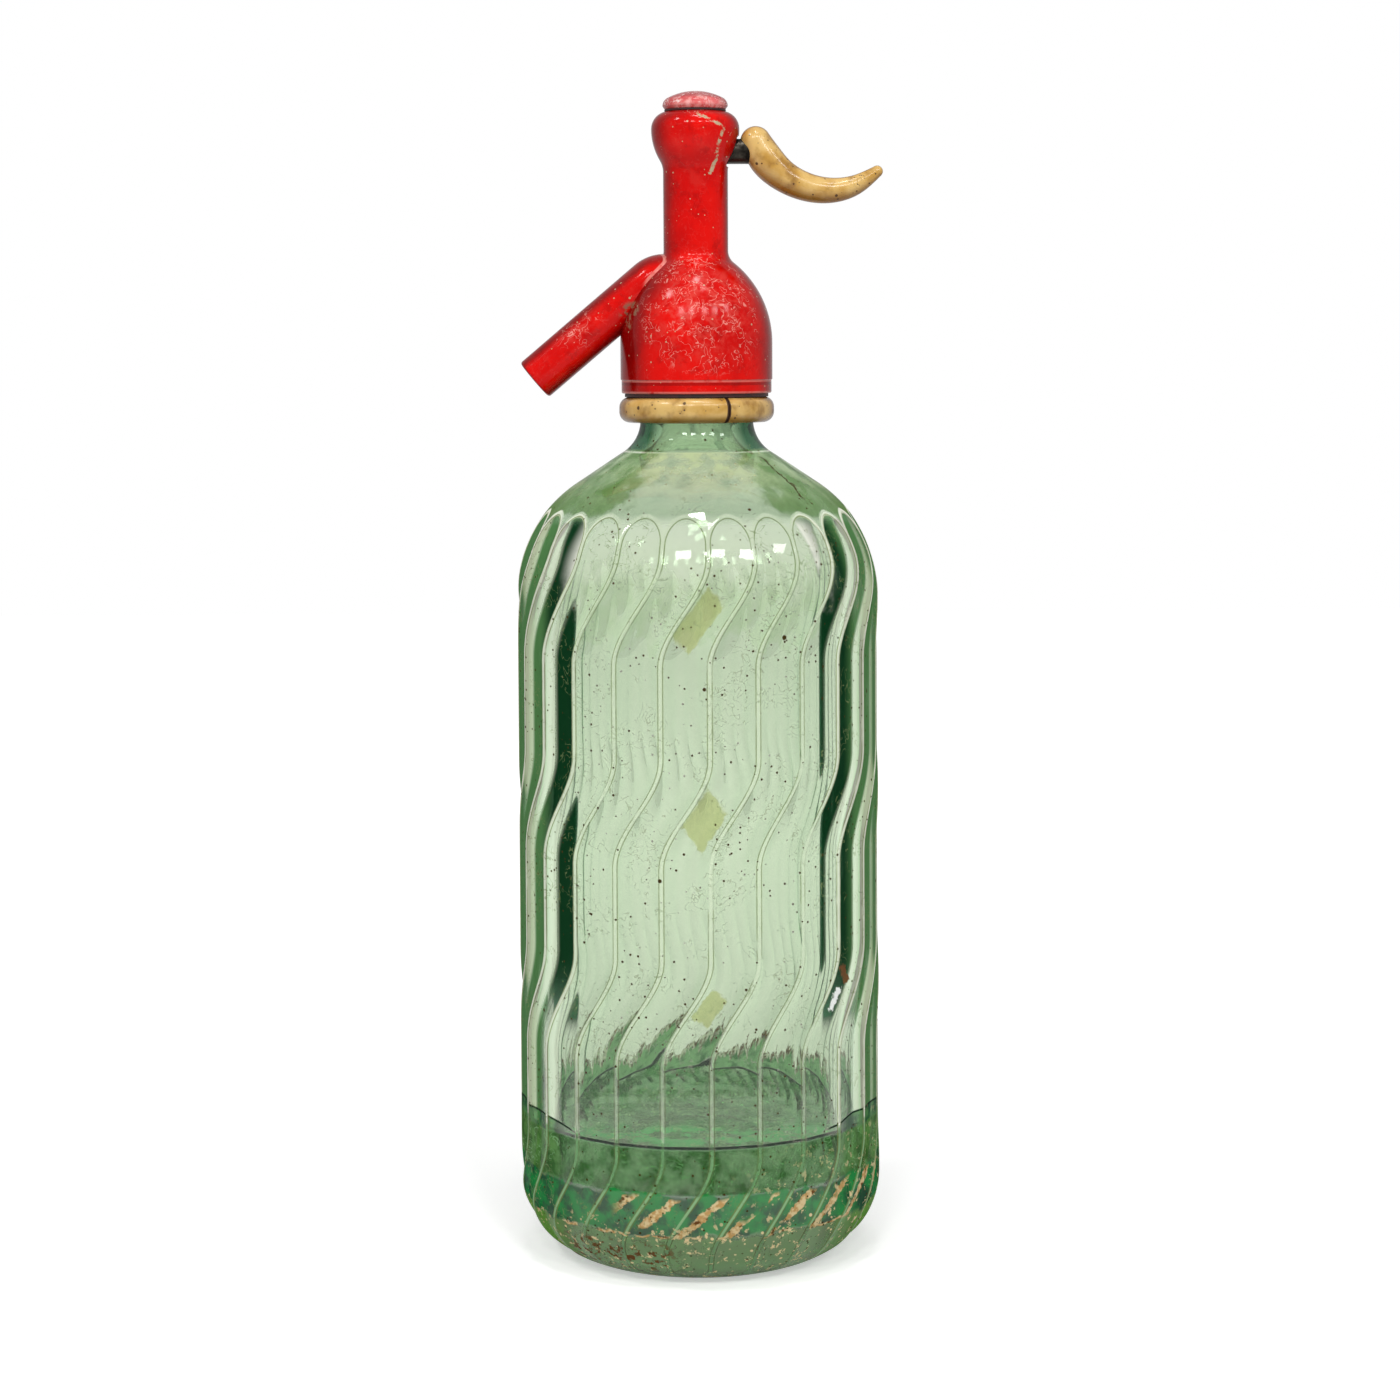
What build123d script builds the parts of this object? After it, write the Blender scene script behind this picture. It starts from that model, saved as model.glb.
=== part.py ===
from build123d import *
import math
import os

# Soda siphon, in millimetres, +Z up. The origin is on the floor, in the middle of the
# bottle's base. The lever points along +X and the spout along -X.
# An outline is drawn in radius and height, and turned about the Z axis.

# Glass bottle
FOOT_RADIUS = 49.2
SHOULDER_FOOT_RADIUS = 48.5
HEEL_RADIUS = 22.1
HEEL_HEIGHT = 21.5
BEARING_RADIUS = 4.4
BEARING_FLAT = 1.2
SHOULDER_RADIUS = 36.0
SHOULDER_HEIGHT = 179.7
NECK_RADIUS = 15.1
NECK_FILLET = 10.0
NECK_HEIGHT = 226.5
PUSH_UP = 9.0
WALL = 4.6
NECK_BORE = 9.0
INNER_HEEL_RADIUS = 17.5
INNER_NECK_FILLET = 14.0
FLOOR_EDGE = 7.0
FLOOR_CROWN = 13.5
BEAD_RADIUS = 17.3
BEAD_HEIGHT = 244.4
LIP_HEIGHT = 250.0
LIP_CORNER = 1.1
WATER_HEIGHT = 38.8

# Flutes pressed into the glass: upright runs joined by bends that step one flute sideways
FLUTE_COUNT = 24
FLUTE_DEPTH = 0.9
FLUTE_PHASE = 3.5
BEND_FIRST = 22.5
BEND_SPACING = 52.0
BEND_COUNT = 4
BEND_LENGTH = 28.0
FLUTE_TOP = 202.5
FLUTE_FOOT = 1.8
ARCH_RISE = 6.5
FOOT_RISE = 3.0
LAND_HALF_ANGLE = 0.45
NARROWEST = 0.12

# Dip tube and the seals at the neck
TUBE_RADIUS = 3.5
TUBE_BORE = 2.3
TUBE_FOOT = 17.0
GASKET_RADIUS = 16.8
RUBBER_FOOT = 243.5
FIBRE_RADIUS = 19.2

# Metal head: bell, tower and bulb in one casting
BELL_RADIUS = 20.3
BELL_BORE = 18.1
BELL_FOOT = 233.6
BELL_ARC = 27.0
BELL_ARC_HEIGHT = 247.0
BAND_HEIGHT = 236.8
BAND_STEP = 0.25
RIM_CHAMFER = 0.45
TOWER_RADIUS = 8.6
TOWER_FILLET = 4.0
BULB_RADIUS = 11.7
BULB_HEIGHT = 303.2
BULB_LOWER_ARC = 16.0
BULB_UPPER_ARC = 4.6
BULB_FILLET = 6.0
CEILING_HEIGHT = 252.5
SOCKET_RADIUS = 6.0
SOCKET_TOP = 256.5
THROAT_RADIUS = 2.6
SEAT_FLOOR = 258.5
CHAMBER_RADIUS = 5.2
CHAMBER_TOP = 273.0
GLAND_RADIUS = 5.6
GLAND_TOP = 287.0
BULB_BORE = 6.2

# Split collar under the bottle's bead
COLLAR_RADIUS = 20.7
COLLAR_BORE = 15.25
COLLAR_FOOT = 225.9
COLLAR_TOP = 232.7
COLLAR_ROUND = 2.8
SLEEVE_RADIUS = 18.0
SPLIT_ANGLE = -66.4
SPLIT_GAP = 0.8

# Spout
SPOUT_TIP = (-43.3, 237.3)
SPOUT_SLOPE = 40.0
SPOUT_RADIUS = 5.9
SPOUT_RIM_ROUND = 0.7
SPOUT_BORE = 4.4
SPOUT_LENGTH = 40.2
SPOUT_BORE_DEPTH = 33.0
SPOUT_STRAIGHT = 16.0
ROOT_HALF_WIDTH = 8.0
ELBOW_RADIUS = 6.3
ELBOW_TAIL = 6.0
PASSAGE_LENGTH = 49.5

# Valve train on the head's axis
SEAT_BASE_TOP = 260.5
SEAT_LIP = 261.0
SEAT_LIP_WIDTH = 1.0
WASHER_RADIUS = 4.4
WASHER_TOP = 263.6
VALVE_FOOT_RADIUS = 4.6
VALVE_FOOT_TOP = 266.0
SCREW_RADIUS = 1.0
SCREW_TOP = 265.6
SCREW_HEAD_FOOT = 260.0
SCREW_SLOT = (0.5, 0.8)
STEM_RADIUS = 1.9
STEM_TOP = 306.0
RUNNING_CLEARANCE = 0.05
PACKING_TOP = 278.5
GLAND_NUT_TOP = 285.0
SPANNER_SLOT = (1.6, 2.4)
SPRING_COLLAR = (299.1, 300.7)
SPRING_COLLAR_RADIUS = 4.2
SPRING_RADIUS = 3.3
SPRING_WIRE = 0.45
SPRING_TURNS = 4
SPRING_TOP = 309.6

# Screw cap
CAP_RADIUS = 8.65
CAP_RIM = 8.05
CAP_FOOT = 308.2
CAP_WIDEST = 309.2
CAP_TOP = 313.1
CAP_CORNER = 2.4
CAP_WASHER_RADIUS = 8.15
PLUG_FOOT = 303.6
PLUG_BORE = 4.4

# Lever: it turns on a pin across the bulb and its fork lifts the stem
PIN_X = 7.0
PIN_Z = 297.3
PIN_RADIUS = 1.2
PIN_HALF_LENGTH = 5.3
SLOT_HALF_WIDTH = 3.5
SLOT = (293.2, 301.4)
SLOT_CORNER = 1.2
HUB_RADIUS = 3.0
SHANK_RADIUS = 3.3
SHANK_END = 14.8
FORK_HALF_WIDTH = 3.2
FORK_GAP = 2.2
FORK_THICKNESS = 2.4
FORK_PAD = 1.6
TANG_RADIUS = 1.5
TANG_SHARE = 0.55
# Middle of the horn-shaped grip, from its root to its tip: x, z and radius
GRIP_STATIONS = (
    (16.0, 299.8, 4.1),
    (18.7, 295.3, 4.6),
    (22.7, 291.3, 4.25),
    (28.0, 288.4, 3.85),
    (35.0, 287.0, 3.4),
    (42.0, 288.2, 2.7),
    (48.2, 291.9, 1.55),
)


def polar(center, radius, degrees):
    """Point at an angle on a circle in the outline plane."""
    turn = math.radians(degrees)
    return (center[0] + radius * math.cos(turn), center[1] + radius * math.sin(turn))


def arc(center, radius, first, last):
    """Arc between two angles in degrees."""
    middle = polar(center, radius, (first + last) / 2)
    return ThreePointArc(polar(center, radius, first), middle, polar(center, radius, last))


def turned(*pieces):
    """Solid that a closed outline sweeps about the Z axis."""
    edges = [edge for piece in pieces for edge in piece.edges()]
    return revolve(Plane.XZ * make_face(edges), Axis.Z)


def disc(radius, low, high):
    """Upright cylinder on the Z axis between two heights."""
    return Pos(0, 0, low) * Cylinder(radius, high - low, align=(Align.CENTER, Align.CENTER, Align.MIN))


def tube(inner, outer, low, high):
    """Upright ring on the Z axis between two heights."""
    return disc(outer, low, high) - disc(inner, low, high)


def crossbar(radius, half_length, x, z):
    """Cylinder along Y."""
    return Pos(x, 0, z) * Rot(90, 0, 0) * Cylinder(radius, 2 * half_length)


def rod_along(radius, start, slope, length):
    """Cylinder that climbs towards +X at a slope from a point of the XZ plane."""
    place = Pos(start[0], 0, start[1]) * Rot(0, 90 - slope, 0)
    return place * Cylinder(radius, length, align=(Align.CENTER, Align.CENTER, Align.MIN))


def smooth_step(share):
    """Rise from 0 to 1 that is level at both ends."""
    share = min(max(share, 0.0), 1.0)
    return share * share * (3 - 2 * share)


def common_tangent(convex, convex_radius, hollow, hollow_radius):
    """Angle at which one straight line touches a convex arc and the hollow arc above it."""
    across = hollow[0] - convex[0]
    up = hollow[1] - convex[1]
    spread = math.acos((convex_radius + hollow_radius) / math.hypot(across, up))
    return math.degrees(math.atan2(up, across) - spread)


def crown_arc(rim, rim_radius, crown):
    """Arc from the axis at the crown's height to where it touches the rim's circle."""
    drop = rim[1] - crown
    radius = (rim[0] ** 2 + drop ** 2 - rim_radius ** 2) / (2 * (rim_radius - drop))
    angle = math.degrees(math.atan2(drop + radius, rim[0]))
    return arc((0, crown - radius), radius, 90, angle), angle


# ---------------------------------------------------------------- bottle

HEEL = (FOOT_RADIUS - HEEL_RADIUS, HEEL_HEIGHT)
SHOULDER = (SHOULDER_FOOT_RADIUS - SHOULDER_RADIUS, SHOULDER_HEIGHT)
NECK = (NECK_RADIUS + NECK_FILLET, NECK_HEIGHT)
INNER_HEEL = (FOOT_RADIUS - WALL - INNER_HEEL_RADIUS, FLOOR_EDGE + INNER_HEEL_RADIUS)
INNER_NECK = (NECK_BORE + INNER_NECK_FILLET, NECK_HEIGHT)


def bearing_center():
    """Middle of the small arc that rounds the heel under to the floor."""
    reach = HEEL_RADIUS - BEARING_RADIUS
    return (HEEL[0] + math.sqrt(reach ** 2 - (HEEL_HEIGHT - BEARING_RADIUS) ** 2), BEARING_RADIUS)


def outer_outline():
    """Outside of the bottle from the middle of its push-up base to the middle of its lip."""
    outer = bearing_center()
    inner = (outer[0] - BEARING_FLAT, BEARING_RADIUS)
    dome, dome_angle = crown_arc(inner, BEARING_RADIUS, PUSH_UP)
    under = math.degrees(math.atan2(outer[1] - HEEL[1], outer[0] - HEEL[0]))
    slope = common_tangent(SHOULDER, SHOULDER_RADIUS, NECK, NECK_FILLET)
    return [
        dome,
        arc(inner, BEARING_RADIUS, dome_angle + 180, 270),
        Line((inner[0], 0), (outer[0], 0)),
        arc(outer, BEARING_RADIUS, -90, under),
        arc(HEEL, HEEL_RADIUS, under, 0),
        Line((FOOT_RADIUS, HEEL_HEIGHT), (SHOULDER_FOOT_RADIUS, SHOULDER_HEIGHT)),
        arc(SHOULDER, SHOULDER_RADIUS, 0, slope),
        Line(polar(SHOULDER, SHOULDER_RADIUS, slope), polar(NECK, NECK_FILLET, slope + 180)),
        arc(NECK, NECK_FILLET, slope + 180, 180),
        Polyline(
            (NECK_RADIUS, NECK_HEIGHT),
            (NECK_RADIUS, BEAD_HEIGHT),
            (BEAD_RADIUS - LIP_CORNER, BEAD_HEIGHT),
            (BEAD_RADIUS, BEAD_HEIGHT + LIP_CORNER),
            (BEAD_RADIUS, LIP_HEIGHT - LIP_CORNER),
            (BEAD_RADIUS - LIP_CORNER, LIP_HEIGHT),
            (0, LIP_HEIGHT),
        ),
    ]


def inner_floor():
    """Inside of the bottle from the foot of its wall to the middle of its floor."""
    floor, floor_angle = crown_arc(INNER_HEEL, INNER_HEEL_RADIUS, FLOOR_CROWN)
    return [arc(INNER_HEEL, INNER_HEEL_RADIUS, 0, floor_angle - 180), floor]


def inner_outline():
    """Inside of the bottle from the lip to the middle of its floor."""
    radius = SHOULDER_RADIUS - WALL
    slope = common_tangent(SHOULDER, radius, INNER_NECK, INNER_NECK_FILLET)
    return [
        Line((NECK_BORE, LIP_HEIGHT), (NECK_BORE, NECK_HEIGHT)),
        arc(INNER_NECK, INNER_NECK_FILLET, 180, slope + 180),
        Line(polar(INNER_NECK, INNER_NECK_FILLET, slope + 180), polar(SHOULDER, radius, slope)),
        arc(SHOULDER, radius, slope, 0),
        Line((SHOULDER_FOOT_RADIUS - WALL, SHOULDER_HEIGHT), (FOOT_RADIUS - WALL, INNER_HEEL[1])),
        *inner_floor(),
    ]


def body_radius(z):
    """Radius of the bottle's outside over the fluted height."""
    if z < HEEL_HEIGHT:
        return HEEL[0] + math.sqrt(HEEL_RADIUS ** 2 - (HEEL_HEIGHT - z) ** 2)
    if z < SHOULDER_HEIGHT:
        share = (z - HEEL_HEIGHT) / (SHOULDER_HEIGHT - HEEL_HEIGHT)
        return FOOT_RADIUS + (SHOULDER_FOOT_RADIUS - FOOT_RADIUS) * share
    return SHOULDER[0] + math.sqrt(SHOULDER_RADIUS ** 2 - (z - SHOULDER_HEIGHT) ** 2)


def flute_fullness(z):
    """How much of a flute's full width is left at a height: it ends in a round arch both ways."""
    into_arch = max(0.0, z - FLUTE_TOP + ARCH_RISE) / ARCH_RISE
    into_foot = max(0.0, FLUTE_FOOT + FOOT_RISE - z) / FOOT_RISE
    return math.sqrt(max(0.0, 1 - into_arch ** 2 - into_foot ** 2))


def flute_turn(z):
    """Angle of one arris at a height, in degrees: one flute further after each bend."""
    middles = [BEND_FIRST + bend * BEND_SPACING for bend in range(BEND_COUNT)]
    steps = sum(smooth_step((z - middle) / BEND_LENGTH + 0.5) for middle in middles)
    return FLUTE_PHASE + steps * 360 / FLUTE_COUNT


def fluted_section(z):
    """Level outline: hollow arcs of the flutes with a narrow land of the round body between them."""
    radius = body_radius(z)
    fullness = flute_fullness(z)
    pitch = 360 / FLUTE_COUNT
    half_width = max(fullness, NARROWEST) * (pitch / 2 - LAND_HALF_ANGLE)
    trough = radius - fullness ** 2 * FLUTE_DEPTH * (radius / FOOT_RADIUS) ** 2
    edges = []
    for flute in range(FLUTE_COUNT):
        middle = flute_turn(z) + (flute + 0.5) * pitch
        turns = (-half_width, 0, half_width, pitch / 2, pitch - half_width)
        radii = (radius, trough, radius, radius, radius)
        points = [(*polar((0, 0), reach, middle + turn), z) for turn, reach in zip(turns, radii)]
        edges += ThreePointArc(*points[:3]).edges() + ThreePointArc(*points[2:]).edges()
    return Wire(edges)


def section_heights():
    """Heights of the sections: close together where the flutes bend or run out."""
    foot = [FLUTE_FOOT + FOOT_RISE * share for share in (0, 0.15, 0.5, 1)]
    bends = [
        BEND_FIRST + bend * BEND_SPACING + BEND_LENGTH * share
        for bend in range(BEND_COUNT)
        for share in (-0.5, -0.33, -0.17, 0, 0.17, 0.33, 0.5)
    ]
    arch = [FLUTE_TOP - ARCH_RISE * share for share in (0.6, 0.3, 0.1, 0)]
    return sorted(foot + bends + arch)


def bottle_glass():
    """Pressed bottle: a ruled barrel with flutes between a turned foot and a turned neck."""
    heights = section_heights()
    low = heights[0]
    high = heights[-1]
    barrel = Solid.make_loft([fluted_section(z) for z in heights], ruled=True)
    solid = turned(*outer_outline(), Line((0, LIP_HEIGHT), (0, PUSH_UP)))
    foot = solid & disc(FOOT_RADIUS, 0, low)
    neck = solid & disc(FOOT_RADIUS, high, LIP_HEIGHT)
    close = Polyline((0, FLOOR_CROWN), (0, LIP_HEIGHT), (NECK_BORE, LIP_HEIGHT))
    cavity = turned(*inner_outline(), close)
    return foot + barrel + neck - cavity


def soda_water():
    """What is left of the soda water, round and inside the end of the dip tube."""
    radius = FOOT_RADIUS - WALL
    share = (WATER_HEIGHT - INNER_HEEL[1]) / (SHOULDER_HEIGHT - INNER_HEEL[1])
    edge = radius + (SHOULDER_FOOT_RADIUS - FOOT_RADIUS) * share
    surface = Polyline((0, FLOOR_CROWN), (0, WATER_HEIGHT), (edge, WATER_HEIGHT), (radius, INNER_HEEL[1]))
    return turned(surface, *inner_floor()) - siphon_tube()


# ---------------------------------------------------------------- dip tube and neck

def siphon_tube():
    """Glass dip tube that carries the water from the floor of the bottle to the valve."""
    return tube(TUBE_BORE, TUBE_RADIUS, TUBE_FOOT, SOCKET_TOP)


def tube_sleeve():
    """Rubber sleeve that grips the dip tube in the socket of the head."""
    return tube(TUBE_RADIUS, SOCKET_RADIUS, RUBBER_FOOT, SOCKET_TOP)


def neck_gasket():
    """Flat rubber ring squeezed between the bottle's lip and the head."""
    return tube(SOCKET_RADIUS, GASKET_RADIUS, LIP_HEIGHT, CEILING_HEIGHT)


def collar_washer():
    """Fibre ring between the rim of the bell and the collar."""
    return tube(BELL_BORE, FIBRE_RADIUS, COLLAR_TOP, BELL_FOOT)


def collar_half(start):
    """Half of the split collar: a rounded flange with a sleeve that holds the bead from below."""
    middle = COLLAR_RADIUS - COLLAR_ROUND
    outline = [
        Line((COLLAR_BORE, COLLAR_FOOT), (middle, COLLAR_FOOT)),
        arc((middle, COLLAR_FOOT + COLLAR_ROUND), COLLAR_ROUND, -90, 0),
        Line((COLLAR_RADIUS, COLLAR_FOOT + COLLAR_ROUND), (COLLAR_RADIUS, COLLAR_TOP - COLLAR_ROUND)),
        arc((middle, COLLAR_TOP - COLLAR_ROUND), COLLAR_ROUND, 0, 90),
        Polyline(
            (middle, COLLAR_TOP),
            (SLEEVE_RADIUS, COLLAR_TOP),
            (SLEEVE_RADIUS, BEAD_HEIGHT),
            (COLLAR_BORE, BEAD_HEIGHT),
            (COLLAR_BORE, COLLAR_FOOT),
        ),
    ]
    edges = [edge for piece in outline for edge in piece.edges()]
    half = revolve(Plane.XZ * make_face(edges), Axis.Z, revolution_arc=180 - SPLIT_GAP)
    return Rot(0, 0, start + SPLIT_GAP / 2) * half


# ---------------------------------------------------------------- head

def blend_above(center, radius, fillet, wall):
    """Hollow arc between a convex arc below and an upright wall above it."""
    reach = wall + fillet - center[0]
    height = math.sqrt((radius + fillet) ** 2 - reach ** 2)
    return (wall + fillet, center[1] + height), math.degrees(math.atan2(height, reach))


def head_skin():
    """Outside of the casting from the rim of the bell to the top of the bulb."""
    bell = (BELL_RADIUS - BELL_ARC, BELL_ARC_HEIGHT)
    foot_blend, bell_angle = blend_above(bell, BELL_ARC, TOWER_FILLET, TOWER_RADIUS)
    lower = (BULB_RADIUS - BULB_LOWER_ARC, BULB_HEIGHT)
    upper = (BULB_RADIUS - BULB_UPPER_ARC, BULB_HEIGHT)
    mirrored, bulb_angle = blend_above(lower, BULB_LOWER_ARC, BULB_FILLET, TOWER_RADIUS)
    bulb_blend = (mirrored[0], 2 * BULB_HEIGHT - mirrored[1])
    band = BELL_RADIUS - BAND_STEP
    return [
        Polyline(
            (BELL_BORE, BELL_FOOT),
            (band - RIM_CHAMFER, BELL_FOOT),
            (band, BELL_FOOT + RIM_CHAMFER),
            (band, BAND_HEIGHT),
        ),
        ThreePointArc(
            (band, BAND_HEIGHT),
            (BELL_RADIUS + BAND_STEP / 2, BAND_HEIGHT + BAND_STEP),
            (BELL_RADIUS, BAND_HEIGHT + 2 * BAND_STEP),
        ),
        Line((BELL_RADIUS, BAND_HEIGHT + 2 * BAND_STEP), (BELL_RADIUS, BELL_ARC_HEIGHT)),
        arc(bell, BELL_ARC, 0, bell_angle),
        arc(foot_blend, TOWER_FILLET, bell_angle + 180, 180),
        Line((TOWER_RADIUS, foot_blend[1]), (TOWER_RADIUS, bulb_blend[1])),
        arc(bulb_blend, BULB_FILLET, 180, 180 - bulb_angle),
        arc(lower, BULB_LOWER_ARC, -bulb_angle, 0),
        arc(upper, BULB_UPPER_ARC, 0, 90),
    ]


def bulb_top():
    """Radius and height at which the bulb's skin ends under the cap."""
    return (BULB_RADIUS - BULB_UPPER_ARC, BULB_HEIGHT + BULB_UPPER_ARC)


def head_blank():
    """The head without any hollow."""
    close = Polyline(bulb_top(), (0, bulb_top()[1]), (0, BELL_FOOT), (BELL_BORE, BELL_FOOT))
    return turned(*head_skin(), close)


def spout_passage():
    """Bore of the spout and the narrower drilling from it to the valve chamber."""
    wide = rod_along(SPOUT_BORE, SPOUT_TIP, SPOUT_SLOPE, SPOUT_BORE_DEPTH)
    return wide + rod_along(THROAT_RADIUS, SPOUT_TIP, SPOUT_SLOPE, PASSAGE_LENGTH)


def head_body():
    """Casting with a bell over the neck, a stepped bore for the valve and the lever's slot."""
    stepped_bore = Polyline(
        bulb_top(),
        (BULB_BORE, bulb_top()[1]),
        (BULB_BORE, GLAND_TOP),
        (GLAND_RADIUS, GLAND_TOP),
        (GLAND_RADIUS, CHAMBER_TOP),
        (CHAMBER_RADIUS, CHAMBER_TOP),
        (CHAMBER_RADIUS, SEAT_FLOOR),
        (THROAT_RADIUS, SEAT_FLOOR),
        (THROAT_RADIUS, SOCKET_TOP),
        (SOCKET_RADIUS, SOCKET_TOP),
        (SOCKET_RADIUS, CEILING_HEIGHT),
        (BELL_BORE, CEILING_HEIGHT),
        (BELL_BORE, BELL_FOOT),
    )
    slot_mouth = RectangleRounded(2 * SLOT_HALF_WIDTH, SLOT[1] - SLOT[0], SLOT_CORNER)
    slot = Plane.YZ * Pos(0, (SLOT[0] + SLOT[1]) / 2) * slot_mouth
    casting = turned(*head_skin(), stepped_bore)
    casting -= extrude(slot, BULB_RADIUS + 1)
    casting -= crossbar(PIN_RADIUS, PIN_HALF_LENGTH, PIN_X, PIN_Z)
    return casting - spout_passage()


def spout_tube():
    """Straight spout that widens sideways into the elbow where it meets the head."""
    slope = math.radians(SPOUT_SLOPE)
    along = Plane(
        origin=(SPOUT_TIP[0], 0, SPOUT_TIP[1]),
        x_dir=(0, 1, 0),
        z_dir=(math.cos(slope), 0, math.sin(slope)),
    )
    sections = []
    for share in (0, 1 / 3, 2 / 3, 1):
        width = SPOUT_RADIUS + (ROOT_HALF_WIDTH - SPOUT_RADIUS) * smooth_step(share)
        place = SPOUT_STRAIGHT + (SPOUT_LENGTH - SPOUT_STRAIGHT) * share
        sections.append(along.offset(place) * Ellipse(width, SPOUT_RADIUS))
    straight = rod_along(SPOUT_RADIUS, SPOUT_TIP, SPOUT_SLOPE, SPOUT_STRAIGHT)
    rim = straight.edges().sort_by(Axis.X)[0]
    root = sections[-1]
    bend_axis = Axis(along.offset(SPOUT_LENGTH).origin + ELBOW_RADIUS * elbow_side(slope), (0, 1, 0))
    elbow = revolve(root, bend_axis, revolution_arc=SPOUT_SLOPE)
    tail_face = elbow.faces().sort_by(Axis.X)[-1]
    tail = extrude(tail_face, ELBOW_TAIL)
    horn = fillet(rim, SPOUT_RIM_ROUND) + loft(sections) + elbow + tail
    return horn - head_blank() - spout_passage()


def elbow_side(slope):
    """Direction from the spout's axis to the middle of its elbow, square to the axis."""
    return Vector(math.sin(slope), 0, -math.cos(slope))


def valve_seat():
    """Brass ring with a raised lip that the washer closes on."""
    base = tube(THROAT_RADIUS, CHAMBER_RADIUS, SEAT_FLOOR, SEAT_BASE_TOP)
    return base + tube(THROAT_RADIUS, THROAT_RADIUS + SEAT_LIP_WIDTH, SEAT_BASE_TOP, SEAT_LIP)


def gland_packing():
    """Leather packing that seals the sliding stem."""
    return tube(STEM_RADIUS + RUNNING_CLEARANCE, GLAND_RADIUS, CHAMBER_TOP, PACKING_TOP)


def gland_nut():
    """Brass nut over the packing, with a cross slot for a spanner."""
    nut = tube(STEM_RADIUS + 4 * RUNNING_CLEARANCE, GLAND_RADIUS, PACKING_TOP, GLAND_NUT_TOP)
    slot = Pos(0, 0, GLAND_NUT_TOP) * Box(3 * GLAND_RADIUS, *SPANNER_SLOT)
    return nut - slot


def dome_arcs(radius, widest, crown, corner):
    """Small arc over a rim and the large arc that meets it from the crown in the middle."""
    rise = crown - widest
    rim = (radius - corner, widest)
    large = (rim[0] ** 2 + rise ** 2 - corner ** 2) / (2 * (rise - corner))
    angle = math.degrees(math.atan2(large - rise, rim[0]))
    return arc(rim, corner, 0, angle), arc((0, crown - large), large, angle, 90)


def top_cap():
    """Domed screw cap with a hollow plug that holds the spring down."""
    return turned(
        Polyline(
            (0, SPRING_TOP),
            (PLUG_BORE, SPRING_TOP),
            (PLUG_BORE, PLUG_FOOT),
            (BULB_BORE, PLUG_FOOT),
            (BULB_BORE, CAP_FOOT),
            (CAP_RIM, CAP_FOOT),
            (CAP_RADIUS, CAP_WIDEST),
        ),
        *dome_arcs(CAP_RADIUS, CAP_WIDEST, CAP_TOP, CAP_CORNER),
        Line((0, CAP_TOP), (0, SPRING_TOP)),
    )


def cap_washer():
    """Fibre washer under the cap."""
    return tube(BULB_BORE, CAP_WASHER_RADIUS, bulb_top()[1], CAP_FOOT)


# ---------------------------------------------------------------- valve

def valve_stem():
    """Stem with a foot that carries the washer."""
    foot = disc(VALVE_FOOT_RADIUS, WASHER_TOP, VALVE_FOOT_TOP)
    foot -= disc(SCREW_RADIUS, WASHER_TOP, SCREW_TOP)
    return foot + disc(STEM_RADIUS, SCREW_TOP, STEM_TOP)


def valve_washer():
    """Rubber washer that closes the seat."""
    return tube(SCREW_RADIUS, WASHER_RADIUS, SEAT_LIP, WASHER_TOP)


def washer_screw():
    """Slotted screw that holds the washer to the foot of the stem."""
    head = disc(STEM_RADIUS, SCREW_HEAD_FOOT, SEAT_LIP)
    head -= Pos(0, 0, SCREW_HEAD_FOOT) * Box(2 * CHAMBER_RADIUS, *SCREW_SLOT)
    return head + disc(SCREW_RADIUS, SEAT_LIP, SCREW_TOP)


def stem_collar():
    """Collar on the stem: the fork lifts it and the spring presses it down."""
    return tube(STEM_RADIUS, SPRING_COLLAR_RADIUS, *SPRING_COLLAR)


def valve_spring():
    """Coil spring between the stem's collar and the cap."""
    low = SPRING_COLLAR[1] + SPRING_WIRE
    height = SPRING_TOP - SPRING_WIRE - low
    path = Pos(0, 0, low) * Helix(height / SPRING_TURNS, height, SPRING_RADIUS)
    wire = Plane(origin=path @ 0, z_dir=path % 0) * RegularPolygon(SPRING_WIRE, 6)
    return sweep(wire, path, is_frenet=True)


# ---------------------------------------------------------------- lever

def grip_path():
    """Middle line of the grip."""
    return Spline([(x, 0, z) for x, z, radius in GRIP_STATIONS])


def lever_arm():
    """Metal lever: hub on the pin, fork on the stem, shank and the tang inside the grip."""
    hub = crossbar(HUB_RADIUS, FORK_HALF_WIDTH, PIN_X, PIN_Z)
    shank = rod_along(SHANK_RADIUS, (PIN_X, PIN_Z), 0, SHANK_END - PIN_X)
    fork_length = PIN_X + FORK_PAD
    fork_place = Pos(PIN_X - fork_length / 2, 0, PIN_Z)
    fork = fork_place * Box(fork_length, 2 * FORK_HALF_WIDTH, FORK_THICKNESS)
    fork += crossbar(FORK_PAD, FORK_HALF_WIDTH, 0, PIN_Z)
    gap = Pos(-FORK_PAD, 0, PIN_Z) * Box(2 * FORK_PAD, 2 * FORK_GAP, 3 * FORK_PAD)
    gap += Pos(0, 0, PIN_Z) * Cylinder(FORK_GAP, 3 * FORK_PAD)
    path = grip_path().trim(0, TANG_SHARE)
    tang = sweep(Plane(origin=path @ 0, z_dir=path % 0) * Circle(TANG_RADIUS), path)
    arm = hub + shank + fork + tang - gap
    return arm - crossbar(PIN_RADIUS + RUNNING_CLEARANCE, 2 * FORK_HALF_WIDTH, PIN_X, PIN_Z)


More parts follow.
